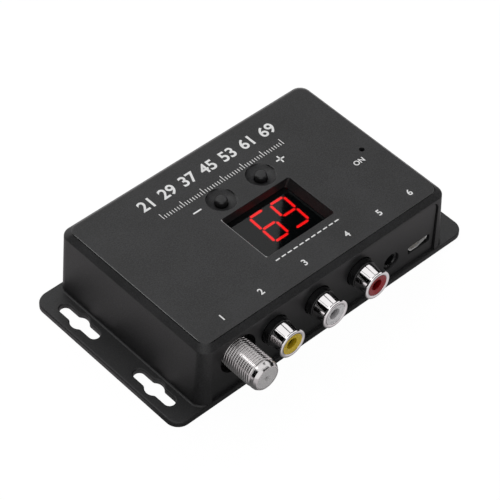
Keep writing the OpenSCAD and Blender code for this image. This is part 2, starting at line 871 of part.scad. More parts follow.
module switch_cover(x) {
    inside = switch_w - 2 * switch_cover_t;
    color([0.8, 0.8, 0.8]) difference() {
        translate([x - switch_w / 2, button_y - switch_w / 2, switch_top])
            cube([switch_w, switch_w, switch_frame_h + switch_cover_t]);
        translate([x - inside / 2, button_y - inside / 2, switch_top - over])
            cube([inside, inside, switch_frame_h + over]);
        translate([x, button_y, switch_top]) cylinder(h = switch_frame_h + over + switch_cover_t,
            r = button_r + slack);
    }
}

// Snap dome: a thin spherical cap standing in the well
module switch_dome(x) {
    foot_r = switch_well_r - 3 * slack;
    ball_r = (foot_r * foot_r + dome_h * dome_h) / (2 * dome_h);
    sweep = asin(foot_r / ball_r);
    down = ball_r - dome_h;
    color([0.85, 0.85, 0.85]) translate([x, button_y, switch_top - switch_well])
        rotate_extrude() polygon(concat(
            arc(0, -down, ball_r, 90 - sweep, 90, 6),
            [[0, dome_h - dome_t], [foot_r - dome_t, 0]]));
}

module button(x) {
    nub_z = switch_top - switch_well + dome_h + slack;
    color([0.22, 0.22, 0.22]) translate([x, button_y, 0]) rotate_extrude() polygon([
        [0, nub_z], [button_nub_r, nub_z], [button_nub_r, flange_z], [button_flange_r, flange_z],
        [button_flange_r, flange_z + button_flange_t], [button_r, flange_z + button_flange_t],
        [button_r, button_top - button_cap_edge], [button_cap_r, button_top], [0, button_top]]);
}

// The power light

module power_led() {
    color([0.9, 0.2, 0.15]) translate([light_x, light_y, led_z]) {
        cylinder(h = led_flange_t, r = led_flange_r);
        rotate_extrude() polygon(concat([[0, 0]], arc(0, led_h - led_r, led_r, 0, 90, 8)));
        cylinder(h = led_h - led_r, r = led_r);
    }
}

module power_led_leads() {
    color([0.8, 0.8, 0.8]) for (s = [-1, 1])
        translate([light_x + s * pin_pitch / 2 - led_lead_w / 2, light_y - led_lead_w / 2, board_top])
            cube([led_lead_w, led_lead_w, led_z - board_top]);
}

module power_led_sleeve() {
    h = led_z - board_top - slack;
    color([0.1, 0.1, 0.1]) translate([light_x, light_y, board_top]) difference() {
        cylinder(h = h, r = led_flange_r + led_lead_w / 4);
        hole_w = led_lead_w + 2 * close;
        for (s = [-1, 1]) translate([s * pin_pitch / 2 - hole_w / 2, -hole_w / 2, -over])
            cube([hole_w, hole_w, h + 2 * over]);
    }
}

// What stands on the board

module on_board(x, y, z = 0) {
    translate([x, y, board_top + z]) children();
}

module modulator_shield() {
    color([0.75, 0.75, 0.74]) on_board(can_x, can_y, can_h / 2) difference() {
        cube([can_l, can_d, can_h], center = true);
        cube([can_l - 2 * can_t, can_d - 2 * can_t, can_h + 2 * over], center = true);
    }
}

// Lid with a folded rim that grips the can
module modulator_shield_lid() {
    rim = 5 * can_t;
    color([0.78, 0.78, 0.77]) on_board(can_x, can_y, can_h) difference() {
        translate([0, 0, (can_t - rim) / 2])
            cube([can_l + 2 * can_lap, can_d + 2 * can_lap, can_t + rim], center = true);
        translate([0, 0, -can_h / 2]) cube([can_l + 2 * close, can_d + 2 * close, can_h], center = true);
    }
}

// Flat chip with legs along two of its sides
module chip(l, d, h, legs, leg_pitch) {
    leg_w = leg_pitch / 2.5;
    leg_l = h / 1.2;
    leg_t = h / 8;
    translate([-l / 2, -d / 2, leg_t]) cube([l, d, h - leg_t]);
    for (s = [-1, 1], i = [0 : legs - 1])
        translate([(i - (legs - 1) / 2) * leg_pitch - leg_w / 2, s > 0 ? d / 2 - leg_t : -d / 2 - leg_l, 0])
            cube([leg_w, leg_l + leg_t, 2 * leg_t]);
}

module modulator_chip() {
    color([0.08, 0.08, 0.08]) on_board(can_x, can_y)
        chip(small_chip_l, small_chip_d, small_chip_h, small_chip_legs, chip_pitch);
}

module controller_chip() {
    color([0.08, 0.08, 0.08]) on_board(button_x, controller_y)
        chip(large_chip_l, large_chip_d, large_chip_h, large_chip_legs, chip_pitch);
}

module display_driver_chip() {
    color([0.08, 0.08, 0.08]) on_board(driver_x, controller_y)
        chip(small_chip_l, large_chip_d, large_chip_h, small_chip_legs, chip_pitch);
}

// Oval metal can on a wider lip
module crystal() {
    color([0.8, 0.8, 0.8]) on_board(crystal_x, controller_y) {
        linear_extrude(crystal_h) stadium(crystal_l, crystal_w);
        linear_extrude(2 * crystal_lip) stadium(crystal_l + 2 * crystal_lip, crystal_w + 2 * crystal_lip);
    }
}

// Round capacitor with the groove that holds its bung
module capacitor(r, h) {
    groove_z = h / 6;
    rotate_extrude() polygon([[0, 0], [r, 0], [r, groove_z], [r - cap_groove, groove_z + cap_groove],
        [r, groove_z + 2 * cap_groove], [r, h - cap_groove], [r - cap_groove, h], [0, h]]);
}

module filter_capacitors() {
    color([0.15, 0.16, 0.3]) {
        for (i = [0, 1], j = [0, 1]) on_board(cap_x + i * cap_pitch, cap_y + j * cap_pitch)
            capacitor(cap_r, cap_h);
        for (i = [0, 1]) on_board(small_cap_x + i * cap_pitch, small_cap_y)
            capacitor(small_cap_r, small_cap_h);
    }
}

// Flat regulator: body, three legs in front and a broad tab behind
module regulator() {
    leg_t = regulator_h / 6;
    leg_w = regulator_l / 9;
    color([0.1, 0.1, 0.1]) on_board(regulator_x, regulator_y) {
        translate([-regulator_l / 2, -regulator_d / 2, leg_t / 2])
            cube([regulator_l, regulator_d, regulator_h - leg_t / 2]);
        for (i = [-1 : 1]) translate([i * regulator_l / 3 - leg_w / 2, -regulator_d / 2 - regulator_leg, 0])
            cube([leg_w, regulator_leg + leg_t, leg_t]);
        translate([-regulator_l / 4, regulator_d / 2 - leg_t, 0])
            cube([regulator_l / 2, regulator_leg + leg_t, leg_t]);
    }
}

// Shielded inductor: square base with cut corners and a round core sunk in its top
module power_inductor() {
    color([0.25, 0.25, 0.25]) on_board(inductor_x, button_y) difference() {
        linear_extrude(inductor_h) rounded(inductor_l, inductor_l, inductor_r);
        translate([0, 0, inductor_h - can_t]) difference() {
            cylinder(h = can_t + over, r = inductor_l / 2 - can_t);
            translate([0, 0, -over]) cylinder(h = can_t + 3 * over, r = inductor_l / 2 - 3 * can_t);
        }
    }
}

module chip_resistors() {
    color([0.15, 0.15, 0.15]) for (i = [0 : 3], j = [0 : 2])
        on_board(resistor_x + i * resistor_pitch, resistor_y + j * resistor_pitch, resistor_h / 2)
            cube([resistor_l, resistor_w, resistor_h], center = true);
}

// The three inserts' colours: video yellow, left white, right red
yellow = [0.86, 0.72, 0.06];
white = [0.88, 0.88, 0.86];
red = [0.75, 0.05, 0.1];

top_cover();
base_plate();
front_panel();
display_lens();
display_housing();
display_segments();
display_pins();
display_sockets();
main_board();
board_screws();
case_screws();
f_connector_mount();
f_connector_shell();
f_connector_insulator();
f_connector_contact();
rca_housing(video_x);  // rca_video_housing
rca_shell(video_x);  // rca_video_shell
rca_insert(video_x, yellow);  // rca_video_insert
rca_contact(video_x);  // rca_video_contact
rca_housing(left_x);  // rca_left_housing
rca_shell(left_x);  // rca_left_shell
rca_insert(left_x, white);  // rca_left_insert
rca_contact(left_x);  // rca_left_contact
rca_housing(right_x);  // rca_right_housing
rca_shell(right_x);  // rca_right_shell
rca_insert(right_x, red);  // rca_right_insert
rca_contact(right_x);  // rca_right_contact
ir_jack_body();
ir_jack_contacts();
usb_shell();
usb_tongue();
usb_contacts();
switch_base(button_x - button_pitch / 2);  // switch_down_base
switch_cover(button_x - button_pitch / 2);  // switch_down_cover
switch_dome(button_x - button_pitch / 2);  // switch_down_dome
button(button_x - button_pitch / 2);  // button_down
switch_base(button_x + button_pitch / 2);  // switch_up_base
switch_cover(button_x + button_pitch / 2);  // switch_up_cover
switch_dome(button_x + button_pitch / 2);  // switch_up_dome
button(button_x + button_pitch / 2);  // button_up
power_led();
power_led_leads();
power_led_sleeve();
modulator_shield();
modulator_shield_lid();
modulator_chip();
controller_chip();
display_driver_chip();
crystal();
filter_capacitors();
regulator();
power_inductor();
chip_resistors();
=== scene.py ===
import math

import bmesh
import bpy
from mathutils import Matrix, Vector


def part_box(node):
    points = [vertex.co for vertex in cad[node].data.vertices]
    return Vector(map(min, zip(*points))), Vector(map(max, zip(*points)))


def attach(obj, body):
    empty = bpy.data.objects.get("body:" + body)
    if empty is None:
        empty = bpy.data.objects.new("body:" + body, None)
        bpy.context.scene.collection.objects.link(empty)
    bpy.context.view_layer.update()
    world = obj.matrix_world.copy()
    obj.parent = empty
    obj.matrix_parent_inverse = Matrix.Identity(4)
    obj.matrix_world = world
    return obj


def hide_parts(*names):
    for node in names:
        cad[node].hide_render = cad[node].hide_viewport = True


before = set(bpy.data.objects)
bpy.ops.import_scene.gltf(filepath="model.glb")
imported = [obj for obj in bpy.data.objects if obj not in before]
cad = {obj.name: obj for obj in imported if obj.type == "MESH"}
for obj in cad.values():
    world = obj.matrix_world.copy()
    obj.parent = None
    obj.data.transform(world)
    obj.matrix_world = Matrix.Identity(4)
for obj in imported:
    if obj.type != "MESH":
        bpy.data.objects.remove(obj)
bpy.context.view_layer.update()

mm = 0.001
rest = "housing"
# how far a cutter reaches past the piece that it cuts
beyond = 1.0 * mm


def lengths(**given):
    # settings typed in millimetres, turned into metres
    return {name: tuple(v * mm for v in value) if isinstance(value, tuple) else value * mm
            for name, value in given.items()}


# Nets of shader nodes

class Wire:
    # a socket that can be used in a sum: noise * 0.2 + 0.5 adds the Math nodes it needs
    def __init__(self, net, socket):
        self.net = net
        self.socket = socket

    def join(self, operation, first, second):
        return self.net.add("ShaderNodeMath", {0: first, 1: second}, {"operation": operation})

    def __add__(self, other):
        return self.join("ADD", self, other)

    def __sub__(self, other):
        return self.join("SUBTRACT", self, other)

    def __rsub__(self, other):
        return self.join("SUBTRACT", other, self)

    def __mul__(self, other):
        return self.join("MULTIPLY", self, other)

    def __abs__(self):
        return self.net.add("ShaderNodeMath", {0: self}, {"operation": "ABSOLUTE"})


class Net:
    def __init__(self, tree, owner=None):
        self.tree = tree
        self.owner = owner
        tree.nodes.clear()

    def add(self, kind, inputs, settings=None, out=0):
        node = self.tree.nodes.new(kind)
        for name, value in (settings or {}).items():
            setattr(node, name, value)
        for name, value in inputs.items():
            socket = self.pick(node.inputs, name)
            if isinstance(value, Wire):
                self.tree.links.new(value.socket, socket)
            else:
                socket.default_value = value
        return Wire(self, self.pick(node.outputs, out)) if len(node.outputs) else None

    def pick(self, sockets, name):
        if isinstance(name, int):
            return sockets[name]
        return next(s for s in sockets if s.identifier == name or s.name == name)

    def place(self):
        return self.add("ShaderNodeTexCoord", {}, out="Object")

    def parts(self):
        split = self.tree.nodes.new("ShaderNodeSeparateXYZ")
        self.tree.links.new(self.place().socket, split.inputs[0])
        return [Wire(self, split.outputs[i]) for i in range(3)]

    def noise(self, size, detail=2.0, roughness=0.5):
        # size is that of a spot, in metres
        return self.add("ShaderNodeTexNoise", {"Vector": self.place(), "Scale": 1 / size,
                        "Detail": detail, "Roughness": roughness})

    def blend(self, share, first, second):
        return self.add("ShaderNodeMix", {"Factor_Float": share, "A_Color": first, "B_Color": second},
                        {"data_type": "RGBA"}, "Result_Color")

    def mix(self, share, first, second):
        return self.add("ShaderNodeMixShader", {0: share, 1: first, 2: second})

    def spread(self, wire, low, high):
        return self.add("ShaderNodeMapRange", {"Value": wire, "From Min": low, "From Max": high})

    def roughness(self, mean, *parts):
        # the mean given, varied by noises that each come with their share
        total, *others = [noise * share for noise, share in parts]
        for other in others:
            total = total + other
        return total + (mean - sum(share for noise, share in parts) / 2)

    def surface(self, colour, gloss, more, height=None, depth=0.0):
        inputs = {"Base Color": colour, "Roughness": gloss, **more}
        if height is not None:
            inputs["Normal"] = self.add("ShaderNodeBump", {"Height": height, "Distance": depth})
        shader = self.add("ShaderNodeBsdfPrincipled", inputs)
        self.add("ShaderNodeOutputMaterial", {"Surface": shader})
        return self.owner


def newNet(name):
    material = bpy.data.materials.new(name)
    material.use_nodes = True
    return Net(material.node_tree, material)


def tone(red, green, blue):
    # a colour as the screen shows it, 0 to 255, in Blender's linear light
    def linear(value):
        value = value / 255
        return value / 12.92 if value < 0.04045 else ((value + 0.055) / 1.055) ** 2.4
    return (linear(red), linear(green), linear(blue), 1.0)


def times(shade, factor):
    return tuple(min(1.0, c * factor) for c in shade[:3]) + (1.0,)


# Finishes

def mouldedPlastic(name, shade, rough, grain, relief, shine=0.5, contrast=0.35):
    # spark-eroded mould texture: fine pits, with a slow change of gloss over the part
    net = newNet(name)
    pits = net.noise(grain, 3.0, 0.6)
    cloud = net.noise(14 * mm, 2.0)
    wear = net.noise(2.2 * mm, 3.0)
    share = net.spread(pits * 0.75 + cloud * 0.25, 0.35, 0.65)
    colour = net.blend(share, times(shade, 1 - contrast), times(shade, 1 + contrast))
    gloss = net.roughness(rough, (cloud, 0.10), (wear, 0.05), (pits, 0.06))
    return net.surface(colour, gloss, {"Specular IOR Level": shine}, pits, relief)


def coverPlastic(name, shade, rough):
    # moulded grain, with polished edges round the roof and a painted highlight: a light line on the
    # window's left edge
    net = newNet(name)
    pits = net.noise(cover["grain"], 4.0, 0.75)
    cloud = net.noise(14 * mm, 2.0)
    x, y, z = net.parts()
    lowest, low, high, highest = [roofZ - depth for depth in cover["band"]]
    polished = net.spread(z, lowest, low) * (1 - net.spread(z, high, highest))
    # a lighter line painted along the window's left edge, standing for the highlight on its rounded rim
    left = window["middle"][0] - window["halfX"]
    line, along = abs(x - left), abs(y - window["middle"][1])
    worn = 1 - net.spread(line, *window["wornWidth"])
    worn = worn * (1 - net.spread(along, *window["wornEnd"]))
    worn = worn * net.spread(z, *[roofZ - depth for depth in window["wornDepth"]])
    share = net.spread(pits * 0.8 + cloud * 0.2, 0.42, 0.58)
    colour = net.blend(share, times(shade, 0.2), times(shade, 1.8))
    colour = net.blend(worn * (cloud * 0.6 + 0.4), colour, tone(*window["wornTone"]))
    gloss = net.roughness(rough, (cloud, 0.10), (pits, 0.08))
    gloss = gloss - polished * (rough - cover["polishedRough"])
    return net.surface(colour, gloss, {}, pits, cover["relief"])


def glossyPlastic(name, shade, rough):
    # polished mould: hardly any grain, a faint orange-peel ripple and light scuffs
    net = newNet(name)
    peel = net.noise(1.6 * mm, 1.0)
    scuff = net.noise(0.5 * mm, 4.0, 0.7)
    share = net.spread(peel, 0.3, 0.7)
    colour = net.blend(share, times(shade, 0.9), times(shade, 1.08))
    gloss = net.roughness(rough, (scuff, 0.10))
    return net.surface(colour, gloss, {}, peel, 0.004 * mm)


def insertPlastic(name, shade, faceY):
    # polished ring whose bore is painted darker with its depth behind the face: painted shade in the
    # hole
    net = newNet(name)
    peel = net.noise(1.2 * mm, 2.0)
    scuff = net.noise(0.4 * mm, 4.0, 0.7)
    y = net.parts()[1]
    # painted shade: the bore's colour darkens towards black with its depth
    deep = net.spread(y, faceY + 0.6 * mm, faceY + 3.2 * mm)
    colour = net.blend(net.spread(peel, 0.3, 0.7), times(shade, 0.9), times(shade, 1.06))
    colour = net.blend(deep, colour, times(shade, 0.06))
    return net.surface(colour, net.roughness(0.3, (scuff, 0.12)), {}, peel, 0.004 * mm)


def platedMetal(name, shade, rough, scratch=0.05 * mm, relief=0.002 * mm, tarnish=0.12, metal=1.0):
    # plated metal with fine drawing marks and patches where the plating is duller
    net = newNet(name)
    marks = net.noise(scratch, 4.0, 0.7)
    patch = net.noise(3.5 * mm, 3.0)
    share = net.spread(patch, 0.35, 0.7)
    colour = net.blend(share, shade, times(shade, 1 - tarnish))
    gloss = net.roughness(rough, (patch, 0.08), (marks, 0.05))
    return net.surface(colour, gloss, {"Metallic": metal}, marks, relief)


def glowingSegment(name, shade, strength):
    # diffuser over a lit chip: its glow mottled a little
    net = newNet(name)
    mottle = net.noise(0.4 * mm, 2.0)
    colour = net.blend(net.spread(mottle, 0.3, 0.7), times(shade, 0.92), shade)
    return net.surface(times(shade, 0.4), 0.5, {"Emission Color": colour, "Emission Strength": strength})


def smokedLens(name, shade, clear, rough):
    net = newNet(name)
    film = net.noise(6 * mm, 2.0)
    dust = net.noise(0.12 * mm, 2.0)
    share = net.spread(film, 0.3, 0.7)
    colour = net.blend(share, shade, times(shade, 1.3))
    gloss = net.roughness(rough, (dust, 0.04))
    return net.surface(colour, gloss, {"Alpha": 1 - clear, "Specular IOR Level": 0.36})


def solderMask(name, shade, copper):
    # green mask over tracks: a grid of slightly raised, lighter lines
    net = newNet(name)
    cells = net.add("ShaderNodeTexBrick", {"Vector": net.place(), "Scale": 1 / (9 * mm),
                                           "Mortar Size": 0.03, "Color1": (0, 0, 0, 1),
                                           "Color2": (0, 0, 0, 1), "Mortar": (1, 1, 1, 1)},
                    {"offset": 0.5, "squash": 1.0}, "Fac")
    mottle = net.noise(1.0 * mm, 3.0)
    colour = net.blend(cells * 0.6 + mottle * 0.2, shade, copper)
    return net.surface(colour, net.roughness(0.35, (mottle, 0.2)), {}, cells, 0.03 * mm)


finish = {
    "base": mouldedPlastic("base_plastic", tone(31, 31, 32), 0.52, 0.34 * mm, 0.012 * mm, 0.5, 0.8),
    "panel": mouldedPlastic("panel_plastic", tone(28, 28, 29), 0.42, 0.18 * mm, 0.01 * mm, 0.5, 0.5),
    "moulding": mouldedPlastic("moulding_black", tone(24, 24, 25), 0.4, 0.1 * mm, 0.004 * mm),
    "jack": glossyPlastic("jack_black", tone(26, 26, 27), 0.2),
    "button": mouldedPlastic("button_grey", tone(26, 26, 27), 0.34, 0.12 * mm, 0.006 * mm),
    "insulator": mouldedPlastic("insulator_grey", tone(205, 203, 203), 0.42, 0.1 * mm, 0.003 * mm,
                                0.5, 0.05),
    "chrome": platedMetal("chrome_sleeve", tone(244, 241, 242), 0.08, 0.3 * mm, 0.0003 * mm, 0.05),
    "nickel": platedMetal("nickel_barrel", tone(216, 213, 213), 0.16, 0.5 * mm, 0.0003 * mm, 0.06),
    "steel": platedMetal("socket_steel", tone(244, 243, 242), 0.35, metal=0.4),
    "can": platedMetal("can_steel", tone(196, 196, 192), 0.3, 0.2 * mm, 0.004 * mm),
    "tin": platedMetal("tinned_metal", tone(210, 210, 212), 0.28),
    "gold": platedMetal("gold_contact", tone(228, 190, 110), 0.2),
    "screw": platedMetal("screw_steel", tone(205, 205, 208), 0.25),
    "blackScrew": platedMetal("black_screw", tone(70, 70, 72), 0.35, 0.08 * mm, 0.004 * mm),
    "lens": smokedLens("smoked_lens", tone(8, 10, 11), 0.15, 0.03),
    "face": mouldedPlastic("display_black", tone(14, 14, 14), 0.6, 0.1 * mm, 0.004 * mm),
    "glow": glowingSegment("lit_segment", tone(255, 24, 24), 42.0),
    "lamp": glossyPlastic("lamp_red", tone(120, 20, 18), 0.15),
    "board": solderMask("board_green", tone(12, 70, 34), tone(40, 110, 60)),
    "chip": mouldedPlastic("chip_black", tone(30, 30, 31), 0.55, 0.08 * mm, 0.005 * mm),
    "sleeve": glossyPlastic("capacitor_sleeve", tone(30, 34, 66), 0.25),
    "ferrite": mouldedPlastic("ferrite_grey", tone(62, 62, 64), 0.6, 0.1 * mm, 0.008 * mm),
    "print": mouldedPlastic("print_white", tone(250, 250, 249), 0.5, 0.1 * mm, 0.002 * mm, 0.4, 0.12),
}
print("finishes:", len(finish))


# Mesh helpers

def eased(points, cut, steps=5):
    # the same open line with every inner corner rounded off, starting cut away from it
    line = [Vector(points[0])]
    for before, corner, after in zip(points, points[1:], points[2:]):
        before, corner, after = Vector(before), Vector(corner), Vector(after)
        back = min(cut, (before - corner).length / 2.01)
        ahead = min(cut, (after - corner).length / 2.01)
        start = corner + (before - corner).normalized() * back
        end = corner + (after - corner).normalized() * ahead
        for i in range(steps + 1):
            t = i / steps
            line.append(start * (1 - t) ** 2 + corner * 2 * t * (1 - t) + end * t ** 2)
    line.append(Vector(points[-1]))
    return line


def arc(centre, radius, start, stop, steps):
    angles = [math.radians(start + (stop - start) * i / steps) for i in range(steps + 1)]
    x, y = centre
    return [Vector((x + radius * math.cos(a), y + radius * math.sin(a))) for a in angles]


def edgeSteps(count):
    # a quarter round of radius 1: how far each step has come one way, and has yet to go the other
    turns = [math.radians(90 * i / count) for i in range(count + 1)]
    return [(1 - math.cos(t), 1 - math.sin(t)) for t in turns]


def ring(halfX, halfY, radius, z, middle=(0, 0), steps=10):
    # rounded rectangle, lying flat
    points = []
    for quarter, (sx, sy) in enumerate(((1, 1), (-1, 1), (-1, -1), (1, -1))):
        corner = (middle[0] + sx * (halfX - radius), middle[1] + sy * (halfY - radius))
        for p in arc(corner, radius, 90 * quarter, 90 * quarter + 90, steps):
            points.append(Vector((p.x, p.y, z)))
    return points


def skin(shape, rows, closed):
    # faces between neighbouring rows; a row of one point makes a tip
    steps = max(len(row) for row in rows)
    pairs = list(zip(rows, rows[1:]))
    if closed:
        pairs.append((rows[-1], rows[0]))
    for low, high in pairs:
        for i in range(steps):
            j = (i + 1) % steps
            corners = [low[i % len(low)], low[j % len(low)], high[j % len(high)], high[i % len(high)]]
            corners = [c for k, c in enumerate(corners) if c not in corners[:k]]
            if len(corners) > 2:
                shape.faces.new(corners)


def loft(rings, closed=False):
    shape = bmesh.new()
    rows = [[shape.verts.new(p) for p in points] for points in rings]
    skin(shape, rows, closed)
    if not closed:
        shape.faces.new(rows[0])
        shape.faces.new(rows[-1])
    bmesh.ops.recalc_face_normals(shape, faces=shape.faces)
    return shape


def lathe(profile, steps=96):
    # profile holds (radius, distance) pairs; a line that meets the axis ends in one point there
    shape = bmesh.new()
    turns = [2 * math.pi * i / steps for i in range(steps)]
    rows = []
    for radius, distance in profile:
        if radius < 1e-9:
            rows.append([shape.verts.new((0, 0, distance))])
        else:
            rows.append([shape.verts.new((radius * math.cos(a), radius * math.sin(a), distance))
                         for a in turns])
    skin(shape, rows, profile[0][0] > 0 and profile[-1][0] > 0)
    bmesh.ops.recalc_face_normals(shape, faces=shape.faces)
    return shape


def cornered(low, high, cut=0.0):
    # a block with softened edges
    low, high = Vector(low), Vector(high)
    half, middle = (high - low) / 2, (high + low) / 2
    shape = bmesh.new()
    bmesh.ops.create_cube(shape, size=2.0)
    shape.transform(Matrix.Translation(middle) @ Matrix.Diagonal((*half, 1)))
    if cut:
        bmesh.ops.bevel(shape, geom=shape.edges[:], offset=cut, segments=2, profile=0.5, affect="EDGES")
    return shape


def made(name, shape, spot=None):
    mesh = bpy.data.meshes.new(name)
    if spot is not None:
        shape.transform(spot)
    shape.to_mesh(mesh)
    shape.free()
    piece = bpy.data.objects.new(name, mesh)
    bpy.context.scene.collection.objects.link(piece)
    return piece


def rod(name, radius, low, high, spot, steps=96):
    return made(name, lathe([(0, low), (radius, low), (radius, high), (0, high)], steps), spot)


def pour(group, shape):
    # adds a shape to a group of shapes that become one piece
    mesh = bpy.data.meshes.new("shape")
    shape.to_mesh(mesh)
    shape.free()
    group.from_mesh(mesh)
    bpy.data.meshes.remove(mesh)


def settle(piece):
    bpy.context.view_layer.update()
    ready = piece.evaluated_get(bpy.context.evaluated_depsgraph_get())
    mesh = bpy.data.meshes.new_from_object(ready)
    piece.modifiers.clear()
    old = piece.data
    piece.data = mesh
    bpy.data.meshes.remove(old)


def combine(piece, tools, operation):
    for tool in tools:
        change = piece.modifiers.new(operation.lower(), "BOOLEAN")
        change.operation = operation
        change.solver = "EXACT"
        change.object = tool
        settle(piece)
        bpy.data.objects.remove(tool)


def cut(piece, *tools):
    combine(piece, tools, "DIFFERENCE")


def join(piece, *tools):
    combine(piece, tools, "UNION")


def dress(piece, material, body, standsFor=(), angle=32):
    piece.data.materials.clear()
    piece.data.materials.append(material)
    bpy.context.view_layer.update()
    piece.data.shade_smooth()
    piece.data.set_sharp_from_angle(angle=math.radians(angle))
    weight = piece.modifiers.new("weights", "WEIGHTED_NORMAL")
    weight.keep_sharp = True
    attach(piece, body)
    if standsFor:
        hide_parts(*standsFor)


def outOfPanel(x, z):
    # turns a lathed shape so that its axis leaves the panel's face at this place
    return Matrix.Translation((x, panelY, z)) @ Matrix.Rotation(math.pi / 2, 4, "X")


def upright(x, y, z=0.0):
    return Matrix.Translation((x, y, z))


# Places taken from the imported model

coverLow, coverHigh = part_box("top_cover")
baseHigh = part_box("base_plate")[1]
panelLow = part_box("front_panel")[0]
roofZ = coverHigh[2]
footZ = coverLow[2]
panelY = panelLow[1]


def middleOf(node):
    low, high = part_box(node)
    return (Vector(low) + Vector(high)) / 2


jackZ = middleOf("rca_video_shell").z
jackX = {side: middleOf(f"rca_{side}_shell").x for side in ("video", "left", "right")}
barrel = middleOf("f_connector_shell")
lensLow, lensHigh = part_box("display_lens")
buttonSpot = {side: middleOf(f"button_{side}") for side in ("down", "up")}
lightSpot = middleOf("power_led")
screwX, screwY = 41.4 * mm, (-19.1 * mm, 22.86 * mm)
screwSpots = [(sx * screwX, y) for sx in (-1, 1) for y in screwY]


# Camera

view = {"azimuth": -44.305, "elevation": 46.947, "roll": 2.287, "distance": 645.02 * mm,
        "right": 0.7995 * mm, "up": -5.2147 * mm, "lens": 164.785, "sensor": 36.0,
        "near": 10 * mm}


def placeCamera():
    azimuth, elevation, roll = [math.radians(view[name]) for name in ("azimuth", "elevation", "roll")]
    back = Vector((math.sin(azimuth) * math.cos(elevation), -math.cos(azimuth) * math.cos(elevation),
                   math.sin(elevation)))
    level = Vector((math.cos(azimuth), math.sin(azimuth), 0))
    over = back.cross(level)
    right = level * math.cos(roll) + over * math.sin(roll)
    up = over * math.cos(roll) - level * math.sin(roll)
    spot = back * view["distance"] - right * view["right"] - up * view["up"]
    camera = bpy.data.objects.new("camera", bpy.data.cameras.new("camera"))
    camera.data.lens = view["lens"]
    camera.data.sensor_width = view["sensor"]
    camera.data.clip_start = view["near"]
    turn = Matrix((right, up, back)).transposed().to_4x4()
    camera.matrix_world = Matrix.Translation(spot) @ turn
    bpy.context.scene.collection.objects.link(camera)
    bpy.context.scene.camera = camera


placeCamera()
print("camera placed")


# Top cover

cover = lengths(length=92.8, flare=0.5, endDraft=1.05, sideDraft=0.31, chamfer=1.85, cornerR=3.4,
                edgeR=3.245, roofR=2.8, wall=2.0, edgeEase=0.3, openingHalf=42.3, openingTop=21.5,
                openingR=2.5, openingDepth=1.6, grooveHalf=43.3, groove=(1.4, 2.8), grooveTop=2.1,
                bossR=2.6, screwR=1.25, screwDepth=8.0, webEnd=44.9, web=1.0, webLift=2.0, bite=0.1,
                band=(0.34, 0.24, 0.03, 0.005), grain=0.34, relief=0.014)
cover.update(shade=(30, 30, 31), rough=0.5, polishedRough=0.2)
window = lengths(halfX=12.625, halfY=9.15, cornerR=0.8, taperX=1.3, taperY=0.1, rim=0.16, skirt=1.2,
                 middle=(2.72, -6.15), wornWidth=(0.14, 0.24), wornEnd=(9.0, 9.3), wornDepth=(0.4, 0.3))
# tone of the light line painted on the window's left edge: a painted highlight
window.update(wornTone=(190, 190, 190))
dish = lengths(r=4.44, depth=1.6, holeR=1.96, rim=0.14, lip=0.02, holeEase=0.12, holeRun=0.5,
               holeDepth=5.0, guideR=3.2, guideLength=2.0, lightR=0.75, lightEase=0.12, lightDepth=3.0)


def coverOutside():
    halfX = cover["length"] / 2
    halfY = coverHigh[1]
    edgeZ = roofZ - cover["chamfer"]
    foot = [Vector((-cover["flare"] * (1 - t) ** 2, footZ + cover["flare"] * t))
            for t in [i / 5 for i in range(5)]]
    line = eased([(0, footZ + cover["flare"]), (0, edgeZ), (cover["chamfer"], roofZ),
                  (3 * cover["chamfer"], roofZ)], cover["edgeEase"])[:-1]
    rings = []
    for inset, z in foot + line:
        rise = min(1.0, (z - footZ) / (edgeZ - footZ))
        top = max(0.0, (z - edgeZ) / cover["chamfer"])
        radius = cover["cornerR"] + (cover["edgeR"] - cover["cornerR"]) * rise
        radius += (cover["roofR"] - cover["edgeR"]) * top
        sideInset = max(inset, 0.0)
        rings.append(ring(halfX - cover["endDraft"] * rise - inset,
                          halfY - cover["sideDraft"] * rise - sideInset, radius, z, steps=14))
    return made("top_cover_shell", loft(rings))


def coverInside():
    halfX = cover["length"] / 2 - cover["wall"]
    halfY = coverHigh[1] - cover["wall"]
    radius = cover["cornerR"] - cover["wall"]
    return made("cavity", loft([ring(halfX, halfY, radius, footZ - beyond),
                                ring(halfX - cover["endDraft"], halfY - cover["sideDraft"], radius,
                                     roofZ - cover["wall"])]))


def archRing(half, bottom, top, radius, y):
    # outline of the front opening, standing on the base plate
    right = arc((half - radius, top - radius), radius, 0, 90, 8)
    left = arc((radius - half, top - radius), radius, 90, 180, 8)
    flat = [(half, bottom)] + right + left + [(-half, bottom)]
    return [Vector((x, y, z)) for x, z in flat]


def windowCutter():
    rim = window["rim"]
    line = [(2 * rim, roofZ + 2 * rim)]
    line += [(rim * side, roofZ - rim * fall) for fall, side in edgeSteps(4)]
    rings = [ring(window["halfX"] + grow, window["halfY"] + grow, window["cornerR"] + grow, z,
                  window["middle"], 6) for grow, z in line]
    rings.append(ring(window["halfX"] - window["taperX"], window["halfY"] - window["taperY"],
                      window["cornerR"], lensHigh[2], window["middle"], 6))
    return made("window", loft(rings))


def dishProfile():
    r, hole, rim = dish["r"], dish["holeR"], dish["rim"]
    fall = r * r - hole * hole - dish["depth"] ** 2
    up = fall / (2 * dish["depth"])
    ball = math.hypot(up, r)
    slope = [(s, up - math.sqrt(ball * ball - s * s)) for s in
             [r + (hole - r) * i / 14 for i in range(15)]]
    line = [(0, beyond), (r + rim, beyond), (r + rim, dish["lip"])]
    line += eased([(r + rim, 0), slope[0], slope[1]], rim, 4)[1:-1]
    line += slope[1:-1]
    line += eased([slope[-2], (hole, -dish["depth"]), (hole, -dish["depth"] - dish["holeRun"])],
                  dish["holeEase"], 4)[1:]
    line += [(hole, -dish["holeDepth"]), (0, -dish["holeDepth"])]
    return line


